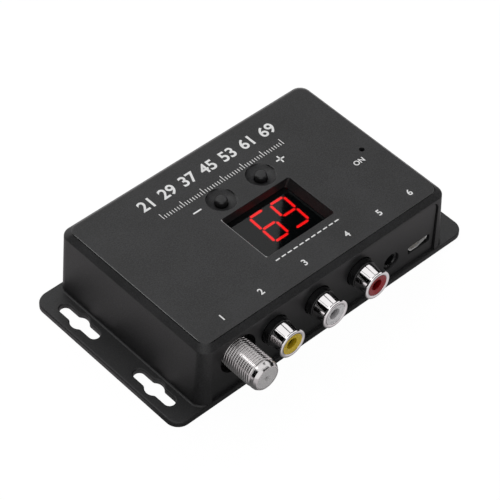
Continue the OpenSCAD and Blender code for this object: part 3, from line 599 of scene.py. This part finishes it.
def coverFittings(ceiling):
    # skirt that seats the lens, button guides, screw bosses and the webs that hold them
    bite = cover["bite"]
    grow = window["skirt"]
    fittings = [made("skirt", loft([ring(window["halfX"] + grow, window["halfY"] + grow,
                                         window["cornerR"] + grow, z, window["middle"])
                                    for z in (lensHigh[2] + bite, ceiling)]))]
    guideFoot = ceiling - dish["guideLength"] - bite
    for p in buttonSpot.values():
        fittings.append(rod("guide", dish["guideR"], guideFoot, ceiling, upright(p.x, p.y), 48))
    for x, y in screwSpots:
        fittings.append(rod("boss", cover["bossR"], footZ + bite, ceiling, upright(x, y), 40))
        end = math.copysign(cover["webEnd"], x)
        web = cornered((min(x, end), y - cover["web"] / 2, footZ + cover["webLift"]),
                       (max(x, end), y + cover["web"] / 2, ceiling - bite / 2))
        fittings.append(made("web", web))
    return fittings


def panelCutters():
    # the front opening, and the groove behind it that holds the panel's flange
    wallFront = -coverHigh[1] - beyond
    half, top, radius = cover["openingHalf"], cover["openingTop"], cover["openingR"]
    opening = loft([archRing(half, footZ - beyond, top, radius, y)
                    for y in (wallFront, panelY + cover["openingDepth"])])
    half, (near, far) = cover["grooveHalf"], cover["groove"]
    groove = cornered((-half, panelY + near, footZ - beyond),
                      (half, panelY + far, roofZ - cover["grooveTop"]))
    return made("opening", opening), made("groove", groove)


def lightHoleProfile():
    r, ease, deep = dish["lightR"], dish["lightEase"], dish["lightDepth"]
    return [(0, beyond), (r + ease, beyond), (r + ease, dish["lip"] / 2), (r + ease / 3, -ease / 3),
            (r, -ease), (r, -deep), (0, -deep)]


def makeCover():
    shell = coverOutside()
    cut(shell, coverInside())
    join(shell, *coverFittings(roofZ - cover["wall"] + cover["bite"]))
    cut(shell, *panelCutters(), windowCutter())
    for p in buttonSpot.values():
        cut(shell, made("dish", lathe(dishProfile()), upright(p.x, p.y, roofZ)))
    spot = upright(lightSpot.x, lightSpot.y, roofZ)
    cut(shell, made("light_hole", lathe(lightHoleProfile(), 48), spot))
    for x, y in screwSpots:
        cut(shell, rod("screw_hole", cover["screwR"], footZ - beyond, cover["screwDepth"],
                       upright(x, y), 24))
    plastic = coverPlastic("cover_plastic", tone(*cover["shade"]), cover["rough"])
    dress(shell, plastic, rest, ["top_cover"])


makeCover()
print("top cover made")


# Base plate

base = lengths(earR=4.0, earEdge=0.6, sideEdge=0.14, underEdge=0.2, slotX=50.3, slotY=15.6,
               slotHalf=1.7, slotLength=15.7, slotMidR=2.75, slotFillet=1.2, slotEase=0.4, postR=2.75,
               postX=38.5, postY=(-11, 14), postTop=5.0, headR=2.5, headDepth=1.3, holeR=1.5,
               pilotR=1.15, pilotZ=0.9, ribHalf=40.4, ribY=(-26.3, -25.3), ribHeight=2.5,
               slotChamfer=0.25, bite=0.3)


def slotRing(x, y, grow, z):
    end = base["slotHalf"] + grow
    midR = base["slotMidR"] + grow
    fillet = base["slotFillet"] - grow
    fx = base["slotHalf"] + base["slotFillet"]
    fy = math.sqrt((base["slotMidR"] + base["slotFillet"]) ** 2 - fx * fx)
    lean = math.degrees(math.atan2(fy, fx))
    quarter = arc((0, 0), midR, 0, lean, 6)
    quarter += arc((fx, fy), fillet, 180 + lean, 180, 5)
    quarter += arc((0, base["slotLength"] / 2 - base["slotHalf"]), end, 0, 90, 8)
    upper = quarter + [Vector((-p.x, p.y)) for p in reversed(quarter[:-1])]
    loop = upper + [Vector((p.x, -p.y)) for p in reversed(upper[1:-1])]
    return [Vector((x + p.x, y + p.y, z)) for p in loop]


def makeBase():
    top = footZ
    under, ear, side = base["underEdge"], base["earEdge"], base["sideEdge"]
    rows = [(under, under, 0), (0, 0, under)]
    rows += [(ear * a, side * a, top - ear * b) for a, b in edgeSteps(8)]
    plate = made("base_plate_shell", loft([ring(baseHigh[0] - ix, baseHigh[1] - iy, base["earR"] - iy,
                                                z, steps=14) for ix, iy, z in rows]))
    sunk, postTop = top - base["bite"], base["postTop"]
    postSpots = [(sx * base["postX"], y) for sx in (-1, 1) for y in base["postY"]]
    posts = [rod("post", base["postR"], sunk, postTop, upright(x, y), 40) for x, y in postSpots]
    half, (back, front) = base["ribHalf"], base["ribY"]
    rib = made("rib", cornered((-half, back, sunk), (half, front, top + base["ribHeight"])))
    join(plate, rib, *posts)
    ease, chamfer = base["slotEase"], base["slotChamfer"]
    grown = [(chamfer, -beyond), (chamfer, 0), (0, chamfer)]
    grown += [(ease * a, top - ease * b) for a, b in edgeSteps(4)]
    grown.append((ease, top + beyond))
    for sx in (-1, 1):
        for sy in (-1, 1):
            rings = [slotRing(sx * base["slotX"], sy * base["slotY"], g, z) for g, z in grown]
            cut(plate, made("slot", loft(rings)))
    head, deep, hole = base["headR"], base["headDepth"], base["holeR"]
    bore = [(0, -beyond), (head, -beyond), (head, deep), (hole, deep), (hole, top + beyond),
            (0, top + beyond)]
    for x, y in screwSpots:
        cut(plate, made("bore", lathe(bore, 40), upright(x, y)))
    for x, y in postSpots:
        cut(plate, rod("bore", base["pilotR"], base["pilotZ"], postTop + beyond, upright(x, y), 24))
    dress(plate, finish["base"], rest, ["base_plate"])


makeBase()
print("base plate made")


# Front panel

panel = lengths(half=42.0, top=21.2, cornerR=2.2, thick=1.5, ease=0.15, flangeHalf=43.1, flangeTop=22.0,
                flange=1.2, flangeR=2.5, barrelR=6.2, jackR=4.6, plugR=2.87, plugZ=8.7,
                socketHalf=(4.25, 1.45), socketR=0.8, socketDepth=4.0, bite=0.05)
panel.update(easeShare=0.3)
irSpot = middleOf("ir_jack_body")
irZ = panel["plugZ"]
usbSpot = middleOf("usb_shell")


def holeProfile(radius):
    ease = panel["ease"]
    bend = ease * panel["easeShare"]
    deep = panel["thick"] + panel["flange"] + beyond
    return [(0, beyond), (radius + ease, beyond), (radius + ease, 0), (radius + bend, -bend),
            (radius, -ease), (radius, -deep), (0, -deep)]


def standing(points):
    # turns a flat ring up, so that its Z becomes the distance in front of the panel's face
    return [Vector((p.x, panelY - p.z, p.y)) for p in points]


def makePanel():
    ease = panel["ease"]
    bend = ease * panel["easeShare"]
    face = [(ease, 0), (bend, bend), (0, ease), (0, panel["thick"] + panel["bite"])]
    rings = [archRing(panel["half"] - grow, footZ, panel["top"] - grow, panel["cornerR"], panelY + deep)
             for grow, deep in face]
    plate = made("front_panel_plate", loft(rings))
    back = panel["thick"] + panel["flange"]
    half, top, radius = panel["flangeHalf"], panel["flangeTop"], panel["flangeR"]
    flange = made("flange", loft([archRing(half, footZ, top, radius, panelY + deep)
                                  for deep in (panel["thick"], back)]))
    join(plate, flange)
    holes = [(barrel.x, jackZ, panel["barrelR"])]
    holes += [(x, jackZ, panel["jackR"]) for x in jackX.values()]
    holes.append((irSpot.x, irZ, panel["plugR"]))
    for x, z, radius in holes:
        cut(plate, made("hole", lathe(holeProfile(radius)), outOfPanel(x, z)))
    hx, hz = panel["socketHalf"]
    rows = [(ease, beyond), (ease, 0), (bend, -bend), (0, -ease), (0, -panel["socketDepth"])]
    rings = [standing(ring(hx + g, hz + g, panel["socketR"] + g, d, (usbSpot.x, usbSpot.z), 6))
             for g, d in rows]
    cut(plate, made("slot", loft(rings)))
    dress(plate, finish["panel"], rest, ["front_panel"])


makePanel()
print("front panel made")


# RCA jacks

rca = lengths(r=3.45, inner=3.13, rimR=4.52, roll=0.4, reach=7.3, shoulder=0.7, neck=0.25, flare=0.7,
              ease=0.25, lipR=3.36, lip=0.25, back=7.3, slack=0.05, holeR=1.75, dish=0.4, springR=2.05,
              spring=(5.3, -4.9), ring=0.35, lift=0.02, setback=0.08, lipGap=0.04, lipStep=0.15,
              insertEase=0.1, collarR=4.4, collar=2.2, collarRoot=4.0, blockEase=0.2, blockDepth=9.8,
              boreDepth=7.4, seam=0.1, seamR=(2.9, 4.4), seamEnd=1.4)
rca.update(yellow=(226, 194, 38), white=(236, 234, 236), red=(158, 15, 25), seamTurn=29)


def sleeveProfile():
    # straight inside the collar, then a shoulder, a taper to the neck and a rolled rim
    reach, roll = rca["reach"], rca["roll"]
    back, step = -rca["back"] + rca["lift"], rca["collar"] + rca["slack"]
    neck = rca["r"] + rca["neck"]
    flareFront = reach - 1.5 * roll
    rise = rca["rimR"] - neck - roll
    line = [(rca["inner"], back), (rca["r"], back), (rca["r"], step)]
    line += eased([(rca["r"], step), (rca["r"] + rca["shoulder"], step),
                   (neck, flareFront - rca["flare"])], rca["ease"])[1:-1]
    line += [(neck + rise * a, flareFront - rca["flare"] * b) for a, b in edgeSteps(8)]
    line += arc((rca["rimR"] - roll, reach - roll), roll, -30, 90, 10)
    face = (rca["rimR"] - roll - rca["lipR"], rca["lip"])
    line += [(rca["rimR"] - roll - face[0] * math.sin(math.radians(a)),
              reach - face[1] * (1 - math.cos(math.radians(a)))) for a in (15, 30, 45, 60, 75, 90)]
    line += [(rca["lipR"], reach - 2 * rca["lip"]), (rca["inner"], reach - 2 * rca["lip"])]
    return line


def insertProfile():
    outer, hole, reach = rca["inner"] - rca["slack"], rca["holeR"], rca["reach"] - rca["setback"]
    lip, step = rca["lipR"] - rca["lipGap"], reach - rca["lip"] - rca["lipStep"]
    foot = -rca["back"] + rca["insertEase"]
    front, deep = rca["spring"]
    line = [(0, foot), (outer, foot)]
    line += eased([(outer, 0), (outer, step), (lip, step), (lip, reach),
                   (lip - rca["ring"], reach - rca["lift"]), (hole, reach - rca["dish"]),
                   (hole, front)], rca["insertEase"])
    return line + [(rca["springR"], front), (rca["springR"], deep), (0, deep)]


def makeRca(side, x, colour):
    spot = outOfPanel(x, jackZ)
    sleeve = made(f"rca_{side}_sleeve", lathe(sleeveProfile()))
    half, (inner, outer) = rca["seam"] / 2, rca["seamR"]
    slit = made("slit", cornered((-half, inner, -rca["back"] - beyond),
                                 (half, outer, rca["reach"] - rca["seamEnd"])))
    slit.data.transform(Matrix.Rotation(math.radians(rca["seamTurn"]), 4, "Z"))
    cut(sleeve, slit)
    sleeve.data.transform(spot)
    dress(sleeve, finish["chrome"], rest, [f"rca_{side}_shell"], 50)
    insert = made(f"rca_{side}_colour", lathe(insertProfile()), spot)
    material = insertPlastic(f"insert_{colour}", tone(*rca[colour]), panelY - rca["reach"])
    dress(insert, material, rest, [f"rca_{side}_insert"])
    low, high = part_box(f"rca_{side}_housing")
    body = made(f"rca_{side}_body", cornered((low[0], high[1] - rca["blockDepth"], low[2]), high,
                                             rca["blockEase"]))
    root, bore = -rca["collarRoot"], rca["r"] + rca["slack"]
    collar = eased([(0, root), (rca["collarR"], root), (rca["collarR"], rca["collar"]),
                    (rca["r"], rca["collar"])], rca["ease"])
    join(body, made("collar", lathe(collar + [(0, rca["collar"])]), spot))
    cut(body, rod("bore", bore, -rca["boreDepth"], -root, spot))
    dress(body, finish["jack"], rest, [f"rca_{side}_housing"])


for side, colour in (("video", "yellow"), ("left", "white"), ("right", "red")):
    makeRca(side, jackX[side], colour)
print("phono jacks made")


# F connector

fPlug = lengths(crest=4.72, root=4.27, pitch=0.794, threadStart=-2.2, threadEnd=9.2, leadR=4.6,
                leadTaper=0.1, leadRise=0.15, ease=0.12, reach=11.3, chamfer=0.9, faceR=3.9, boreR=3.6,
                shankR=4.2, shank=8.8, shankGap=0.02, slack=0.05, setback=0.03, discEdge=0.06, pinR=0.5,
                cone=0.35, pinDepth=2.0, hollowR=0.95, discWall=0.2)
fPlug.update(fadeIn=0.5, fadeOut=0.8, crown=1.25, steps=96, perPitch=10)


def threadRings():
    # true helix: the radius follows the distance along the axis less the turn
    pitch, start, end = fPlug["pitch"], fPlug["threadStart"], fPlug["threadEnd"]
    steps, rows = fPlug["steps"], int((end - start) / pitch * fPlug["perPitch"])
    rings = []
    for k in range(rows + 1):
        along = start + (end - start) * k / rows
        fade = min(1.0, (along - start) / (fPlug["fadeIn"] * pitch),
                   (end - along) / (fPlug["fadeOut"] * pitch))
        points = []
        for i in range(steps):
            turn = 2 * math.pi * i / steps
            phase = (along / pitch - i / steps) % 1.0
            tooth = min(1.0, fPlug["crown"] * (1 - abs(2 * phase - 1)))
            tooth = tooth * tooth * (3 - 2 * tooth)
            radius = fPlug["root"] + (fPlug["crest"] - fPlug["root"]) * tooth * fade
            points.append(Vector((radius * math.cos(turn), radius * math.sin(turn), along)))
        rings.append(points)
    return rings


def circleRing(radius, along):
    turns = [2 * math.pi * i / fPlug["steps"] for i in range(fPlug["steps"])]
    return [Vector((radius * math.cos(a), radius * math.sin(a), along)) for a in turns]


def makeBarrel():
    reach, end, shank = fPlug["reach"], fPlug["threadEnd"], -fPlug["shank"]
    spot = outOfPanel(barrel.x, jackZ)
    lead = eased([(fPlug["root"], end), (fPlug["leadR"], end + fPlug["leadRise"]),
                  (fPlug["leadR"] - fPlug["leadTaper"], reach - fPlug["chamfer"]),
                  (fPlug["faceR"], reach), (fPlug["boreR"], reach)], fPlug["ease"], 4)
    rings = [circleRing(fPlug["boreR"], shank), circleRing(fPlug["shankR"], shank),
             circleRing(fPlug["shankR"], fPlug["threadStart"] - fPlug["shankGap"])]
    rings += threadRings()
    rings += [circleRing(radius, along) for radius, along in lead[1:]]
    piece = made("f_connector_barrel", loft(rings, True), spot)
    dress(piece, finish["nickel"], rest, ["f_connector_shell"], 60)
    outer, face, edge = fPlug["boreR"] - fPlug["slack"], reach - fPlug["setback"], fPlug["discEdge"]
    pin, cone, hollow = fPlug["pinR"], fPlug["cone"], fPlug["hollowR"]
    deep, floor = reach - fPlug["pinDepth"], shank + fPlug["discWall"]
    profile = [(0, shank), (outer, shank), (outer, face - edge), (outer - edge, face),
               (pin + cone, face), (pin, face - cone), (pin, deep), (hollow, deep), (hollow, floor),
               (0, floor)]
    disc = made("f_connector_disc", lathe(profile), spot)
    dress(disc, finish["insulator"], rest, ["f_connector_insulator"])


makeBarrel()
print("F connector made")


# Infrared jack and power socket

plug = lengths(ringR=2.6, boreR=1.8, setback=0.55, chamfer=0.3, deep=13.6, caseBack=2.9, caseEase=0.2,
               root=4.0, ease=0.15)
socket = lengths(top=7.5, bottom=5.4, height=2.6, side=1.3, wall=0.32, round=0.3, edge=0.06,
                 inEdge=0.04)


def makePlugJack():
    low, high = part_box("ir_jack_body")
    spot = outOfPanel(irSpot.x, irZ)
    block = made("ir_jack_case", cornered((low[0], panelY + plug["caseBack"], low[2]), high,
                                          plug["caseEase"]))
    face, radius, chamfer = -plug["setback"], plug["boreR"], plug["chamfer"]
    nose = eased([(0, -plug["root"]), (plug["ringR"], -plug["root"]), (plug["ringR"], face),
                  (radius, face)], plug["ease"])
    join(block, made("nose", lathe(nose + [(0, face)]), spot))
    bore = [(0, -plug["deep"]), (radius, -plug["deep"]), (radius, face - chamfer),
            (radius + chamfer, face), (radius + chamfer, beyond), (0, beyond)]
    cut(block, made("bore", lathe(bore), spot))
    dress(block, finish["jack"], rest, ["ir_jack_body"])


def socketRing(grow, y):
    low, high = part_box("usb_shell")
    top, bottom = socket["top"] / 2 + grow, socket["bottom"] / 2 + grow
    side = low[2] + socket["height"] - socket["side"]
    flat = [(-bottom, low[2] - grow), (bottom, low[2] - grow), (top, side), (top, high[2] + grow),
            (-top, high[2] + grow), (-top, side), (-bottom, low[2] - grow), (bottom, low[2] - grow)]
    flat = eased([((a[0] + b[0]) / 2, (a[1] + b[1]) / 2) if i == 0 else b for i, (a, b) in
                  enumerate(zip(flat, flat[1:]))], socket["round"] + grow / 2, 4)
    return [Vector((usbSpot.x + p[0], y, p[1])) for p in flat[:-1]]


def makeSocket():
    low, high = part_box("usb_shell")
    wall, edge, front, back = socket["wall"], socket["edge"], low[1], high[1]
    rows = [(0, back), (0, front + edge), (-edge, front), (socket["inEdge"] - wall, front),
            (-wall, front + edge), (-wall, back)]
    shell = made("usb_shell_sleeve", loft([socketRing(grow, y) for grow, y in rows], True))
    dress(shell, finish["steel"], rest, ["usb_shell"])


makePlugJack()
makeSocket()
print("small sockets made")


# Display

display = lengths(digitW=5.1, digitH=11.15, pitch=7.7, stroke=0.82, point=0.36, gap=0.5, edge=0.15,
                  strokeEase=0.12, lensR=0.8)
display.update(slant=3.0, show=(6, 9))
litStrokes = {6: "top left0 middle left1 right1 bottom", 9: "top left0 right0 middle right1 bottom"}


def bar(length, width, z):
    # a stroke with pointed ends, its corners eased
    half, tip = width / 2, length / 2 - display["point"]
    loop = [(0, -half), (tip, -half), (length / 2, 0), (tip, half), (-tip, half), (-length / 2, 0),
            (-tip, -half), (0, -half)]
    return [Vector((p.x, p.y, z)) for p in eased(loop, display["strokeEase"], 3)[:-1]]


def makeDigits():
    low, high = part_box("display_segments")
    middle = middleOf("display_segments")
    w, h, stroke = display["digitW"], display["digitH"], display["stroke"]
    lean = math.tan(math.radians(display["slant"]))
    places = {"top": (0, h / 2, 0), "middle": (0, 0, 0), "bottom": (0, -h / 2, 0)}
    for column, x in (("left", -w / 2), ("right", w / 2)):
        places[column + "0"] = (x, h / 4, 90 - display["slant"])
        places[column + "1"] = (x, -h / 4, 90 - display["slant"])
    strokes = bmesh.new()
    for index, digit in enumerate(display["show"]):
        digitX = middle.x + (2 * index - 1) * display["pitch"] / 2
        for name in litStrokes[digit].split():
            x, y, turn = places[name]
            length = (h / 2 if turn else w) - display["gap"]
            one = loft([bar(length, stroke, low[2]), bar(length, stroke, high[2])])
            one.transform(Matrix.Translation((digitX + x + lean * y, middle.y + y, 0)) @
                          Matrix.Rotation(math.radians(turn), 4, "Z"))
            pour(strokes, one)
    dress(made("display_digits", strokes), finish["glow"], rest, ["display_segments"])


def makeLens():
    halfX, halfY = (lensHigh[0] - lensLow[0]) / 2, (lensHigh[1] - lensLow[1]) / 2
    edge, radius = display["edge"], display["lensR"]
    rows = [(-edge, lensLow[2]), (0, lensLow[2] + edge), (0, lensHigh[2] - edge), (-edge, lensHigh[2])]
    rings = [ring(halfX + g, halfY + g, radius + g, z, window["middle"], 6) for g, z in rows]
    dress(made("display_window", loft(rings)), finish["lens"], rest, ["display_lens"])


makeDigits()
makeLens()
print("display made")


# Buttons

press = lengths(stemR=1.75, capR=1.34, edge=0.4, flangeR=2.15, flange=0.5, nubR=0.7, flangeZ=9.15,
                ease=0.12, nubLift=0.27)


def makeButton(side):
    low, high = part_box(f"button_{side}")
    top = high[2]
    flangeZ = press["flangeZ"]
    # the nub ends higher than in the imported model, so that it stays clear of the dome when pressed
    foot = low[2] + press["nubLift"]
    line = eased([(0, foot), (press["nubR"], foot), (press["nubR"], flangeZ),
                  (press["flangeR"], flangeZ), (press["flangeR"], flangeZ + press["flange"]),
                  (press["stemR"], flangeZ + press["flange"]), (press["stemR"], top - press["edge"]),
                  (press["capR"], top), (0, top)], press["ease"], 4)
    spot = buttonSpot[side]
    piece = made(f"{side}_button", lathe(line, 64), upright(spot.x, spot.y))
    dress(piece, finish["button"], f"button_{side}", [f"button_{side}"], 40)


for side in ("down", "up"):
    makeButton(side)
print("buttons made")


# Case screws, seen in the underside

screw = lengths(headR=2.3, headTopR=2.0, head=1.1, r=1.2, ease=0.15, recess=0.55, crossHalf=1.25,
                crossW=0.3)
screw.update(turn=(30, 50))


def makeScrews():
    (head, tip), group = [corner[2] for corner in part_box("case_screws")], bmesh.new()
    line = eased([(0, head), (screw["headTopR"], head), (screw["headR"], head + screw["head"]),
                  (screw["r"], head + screw["head"]), (screw["r"], tip), (0, tip)], screw["ease"], 4)
    for x, y in screwSpots:
        piece = made("screw", lathe(line, 48))
        half, w = screw["crossHalf"], screw["crossW"]
        low, deep = head - beyond, head + screw["recess"]
        cut(piece, *[made("cross", cornered((-a, -b, low), (a, b, deep)))
                     for a, b in ((half, w), (w, half))])
        turn = x * screw["turn"][0] + y * screw["turn"][1]
        piece.data.transform(upright(x, y) @ Matrix.Rotation(turn, 4, "Z"))
        group.from_mesh(piece.data)
        bpy.data.objects.remove(piece)
    dress(made("case_screw_set", group), finish["blackScrew"], rest, ["case_screws"])


makeScrews()
print("screws made")


# Print on the roof: plain numbers, marks and a scale

printed = lengths(lift=0.012, thick=0.02, rowX=(-21.3, 23.4), rowY=18.9, rowSize=5.4, scaleY=14.6,
                  tick=(0.22, 1.3, 2.4), signY=9.65, signX=(-12.7, 18.4), sign=(3.0, 0.5), portY=-24.4,
                  portSize=3.0, portX=(-33.5, -19.6, -3.6, 12.3, 24.6, 36.4), captionY=-17.9,
                  captionX=(-9.4, 14.8), dash=(1.5, 0.4), lampX=34.4, lampY=-6.4, lampSize=2.4)
printed.update(numbers=("21", "29", "37", "45", "53", "61", "69"), ticks=8, dashes=11, round=0.6,
               bold=0.02)


def addMark(group, halfX, halfY, x, y):
    low = roofZ + printed["lift"]
    radius = min(halfX, halfY) * printed["round"]
    pour(group, loft([ring(halfX, halfY, radius, z, (x, y), 3) for z in (low, low + printed["thick"])]))


def addText(group, words, size, x, y):
    curve = bpy.data.curves.new("words", "FONT")
    curve.body = words
    curve.size = size
    curve.align_x = "CENTER"
    curve.extrude = printed["thick"] / 2
    curve.offset = size * printed["bold"]
    item = bpy.data.objects.new("words", curve)
    bpy.context.scene.collection.objects.link(item)
    bpy.context.view_layer.update()
    ready = item.evaluated_get(bpy.context.evaluated_depsgraph_get())
    mesh = bpy.data.meshes.new_from_object(ready)
    mesh.transform(Matrix.Translation((x, y, roofZ + printed["lift"] + printed["thick"] / 2)))
    group.from_mesh(mesh)
    bpy.data.objects.remove(item)
    bpy.data.meshes.remove(mesh)


def makePrint():
    group = bmesh.new()
    first, last = printed["rowX"]
    count = len(printed["numbers"])
    gap = (last - first) / (count - 1)
    for i, number in enumerate(printed["numbers"]):
        addText(group, number, printed["rowSize"], first + i * gap, printed["rowY"])
    width, short, tall = printed["tick"]
    for k in range((count - 1) * printed["ticks"] + 1):
        length = tall if k % printed["ticks"] == 0 else short
        addMark(group, width / 2, length / 2, first + k * gap / printed["ticks"],
                printed["scaleY"] - (tall - length) / 2)
    down, up = printed["signX"]
    length, width = printed["sign"]
    addMark(group, length / 2, width / 2, down, printed["signY"])
    addMark(group, length / 2, width / 2, up, printed["signY"])
    addMark(group, width / 2, length / 2, up, printed["signY"])
    for i, x in enumerate(printed["portX"]):
        addText(group, str(i + 1), printed["portSize"], x, printed["portY"])
    left, right = printed["captionX"]
    dashX, dashY = printed["dash"]
    count = printed["dashes"]
    for k in range(count):
        x = left + (right - left) * (k + 0.5) / count
        addMark(group, dashX / 2, dashY / 2, x, printed["captionY"])
    addText(group, "ON", printed["lampSize"], printed["lampX"], printed["lampY"])
    dress(made("roof_print", group), finish["print"], rest)


makePrint()
print("print made")


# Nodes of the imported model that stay, with their finishes

kept = {
    "face": ["display_housing"],
    "moulding": ["display_sockets", "power_led_sleeve", "f_connector_mount", "usb_tongue",
                 "switch_down_base", "switch_up_base"],
    "tin": ["display_pins", "power_led_leads", "ir_jack_contacts", "rca_video_contact",
            "rca_left_contact", "rca_right_contact"],
    "gold": ["usb_contacts", "f_connector_contact"],
    "board": ["main_board"],
    "screw": ["board_screws"],
    "steel": ["switch_down_cover", "switch_up_cover", "switch_down_dome", "switch_up_dome", "crystal"],
    "lamp": ["power_led"],
    "can": ["modulator_shield", "modulator_shield_lid"],
    "chip": ["modulator_chip", "controller_chip", "display_driver_chip", "regulator", "chip_resistors"],
    "sleeve": ["filter_capacitors"],
    "ferrite": ["power_inductor"],
}


def finishKept():
    for key, names in kept.items():
        for name in names:
            for holder in cad[name].material_slots:
                holder.material = finish[key]


finishKept()
print("kept nodes finished:", sum(len(names) for names in kept.values()))


# Floor, cards and lamps

studio = {"floorHalf": 3.0, "floorGap": 0.1 * mm, "floorHole": (45 * mm, 28.5 * mm),
          "ambient": 0.27, "paper": 0.85, "glowShare": 0.95, "glow": 1.03, "card": 0.002,
          "pale": (1, 0.955, 0.975, 1),
          "nearGloss": 0.12, "farGloss": 0.65, "shade": (-0.034, 0.12, 0.004, 0.015),
          "lamps": {"key": ((0.42, 0.50, 0.75), 0.6, 4.4, False),
                    "front": ((-0.35, -0.85, 0.50), 0.5, 1.35, False),
                    "strip": ((-0.333, 0.441, 0.711), 0.22, 0.8, True)}}
# dark cards that only mirrors see: the edge of the first is the line that crosses the display
cards = {"display": ((0.3245, 0.3052, 0.3570), (0.1246, 0.1222, 0.4283), (0.1746, 0.0672, 0.4463),
                     (0.3745, 0.2502, 0.3750)),
         "right": ((1.15, 0.90, 0.004), (1.0, -0.90, 0.004), (0.70, -0.50, 0.40), (0.75, 0.50, 0.42)),
         "front": ((0.42, -0.42, 0.50), (1.0, -0.9, 0.004), (-0.15, -1.3, 0.004), (-0.12, -0.46, 0.54)),
         "left": ((-0.50, -0.10, 0.004), (-0.55, 0.85, 0.004), (-0.40, 0.50, 0.50),
                  (-0.40, -0.05, 0.56))}


def seenDirectly(net):
    # 1 for what the camera, a mirror or a lens sees, 0 for the light that falls on the part
    path = net.tree.nodes.new("ShaderNodeLightPath")
    camera, glossy, clear = [Wire(net, path.outputs[name]) for name in
                             ("Is Camera Ray", "Is Glossy Ray", "Is Transmission Ray")]
    return camera.join("MAXIMUM", camera.join("MAXIMUM", camera, clear), glossy), glossy


def makeWorld(scene):
    world = bpy.data.worlds.new("studio")
    scene.world = world
    world.use_nodes = True
    net = Net(world.node_tree)
    seen = seenDirectly(net)[0]
    white = net.add("ShaderNodeBackground", {"Color": (1, 1, 1, 1), "Strength": 1.0})
    soft = net.add("ShaderNodeBackground", {"Color": (1, 1, 1, 1), "Strength": studio["ambient"]})
    net.add("ShaderNodeOutputWorld", {"Surface": net.mix(seen, soft, white)})


def makeFloor():
    # a frame round the part's own foot, clear when seen from below, so that the underside shows
    half, depth = studio["floorHalf"], -studio["floorGap"]
    holeX, holeY = studio["floorHole"]
    shape = bmesh.new()
    corners = ((-1, -1), (1, -1), (1, 1), (-1, 1))
    rows = [[shape.verts.new((sx * x, sy * y, depth)) for sx, sy in corners]
            for x, y in ((half, half), (holeX, holeY))]
    for i in range(4):
        j = (i + 1) % 4
        shape.faces.new((rows[0][i], rows[0][j], rows[1][j], rows[1][i]))
    floor = made("floor", shape)
    net = newNet("paper")
    seen, glossy = seenDirectly(net)
    paper = net.add("ShaderNodeBsdfDiffuse", {"Color": (studio["paper"],) * 3 + (1.0,)})
    white = (1, 1, 1, 1)
    glow, dim, pale = [net.add("ShaderNodeEmission", {"Color": colour, "Strength": studio[name]})
                       for name, colour in (("glow", white), ("nearGloss", white),
                                            ("farGloss", studio["pale"]))]
    # mirrors see the floor dim near the box's front and brighter further off: a painted shadow
    foot, lean, near, far = studio["shade"]
    x, y = net.parts()[:2]
    away = abs(y - foot) + x * lean
    shown = net.mix(glossy, glow, net.mix(net.spread(away, near, far), dim, pale))
    mixed = net.mix(seen * studio["glowShare"], paper, shown)
    below = net.add("ShaderNodeNewGeometry", {}, out="Backfacing")
    clear = net.add("ShaderNodeBsdfTransparent", {"Color": white})
    net.add("ShaderNodeOutputMaterial", {"Surface": net.mix(below, mixed, clear)})
    floor.data.materials.append(net.owner)


def makeCards():
    net = newNet("black_card")
    black = net.add("ShaderNodeBsdfDiffuse", {"Color": (studio["card"],) * 3 + (1.0,)})
    net.add("ShaderNodeOutputMaterial", {"Surface": black})
    for name, corners in cards.items():
        shape = bmesh.new()
        shape.faces.new([shape.verts.new(p) for p in corners])
        card = made(name + "_card", shape)
        card.data.materials.append(net.owner)
        for kind in ("camera", "diffuse", "transmission", "shadow"):
            setattr(card, "visible_" + kind, False)


def makeLamps(scene):
    for name, (spot, size, power, mirrored) in studio["lamps"].items():
        lamp = bpy.data.objects.new(name, bpy.data.lights.new(name, "AREA"))
        lamp.data.shape = "SQUARE"
        lamp.data.size = size
        lamp.data.energy = power
        lamp.location = spot
        lamp.rotation_euler = (-Vector(spot)).to_track_quat("-Z", "Y").to_euler()
        lamp.visible_glossy = mirrored
        scene.collection.objects.link(lamp)


def makeStudio():
    scene = bpy.context.scene
    scene.view_settings.view_transform = "Standard"
    makeWorld(scene)
    makeFloor()
    makeCards()
    makeLamps(scene)


makeStudio()
print("studio lit")
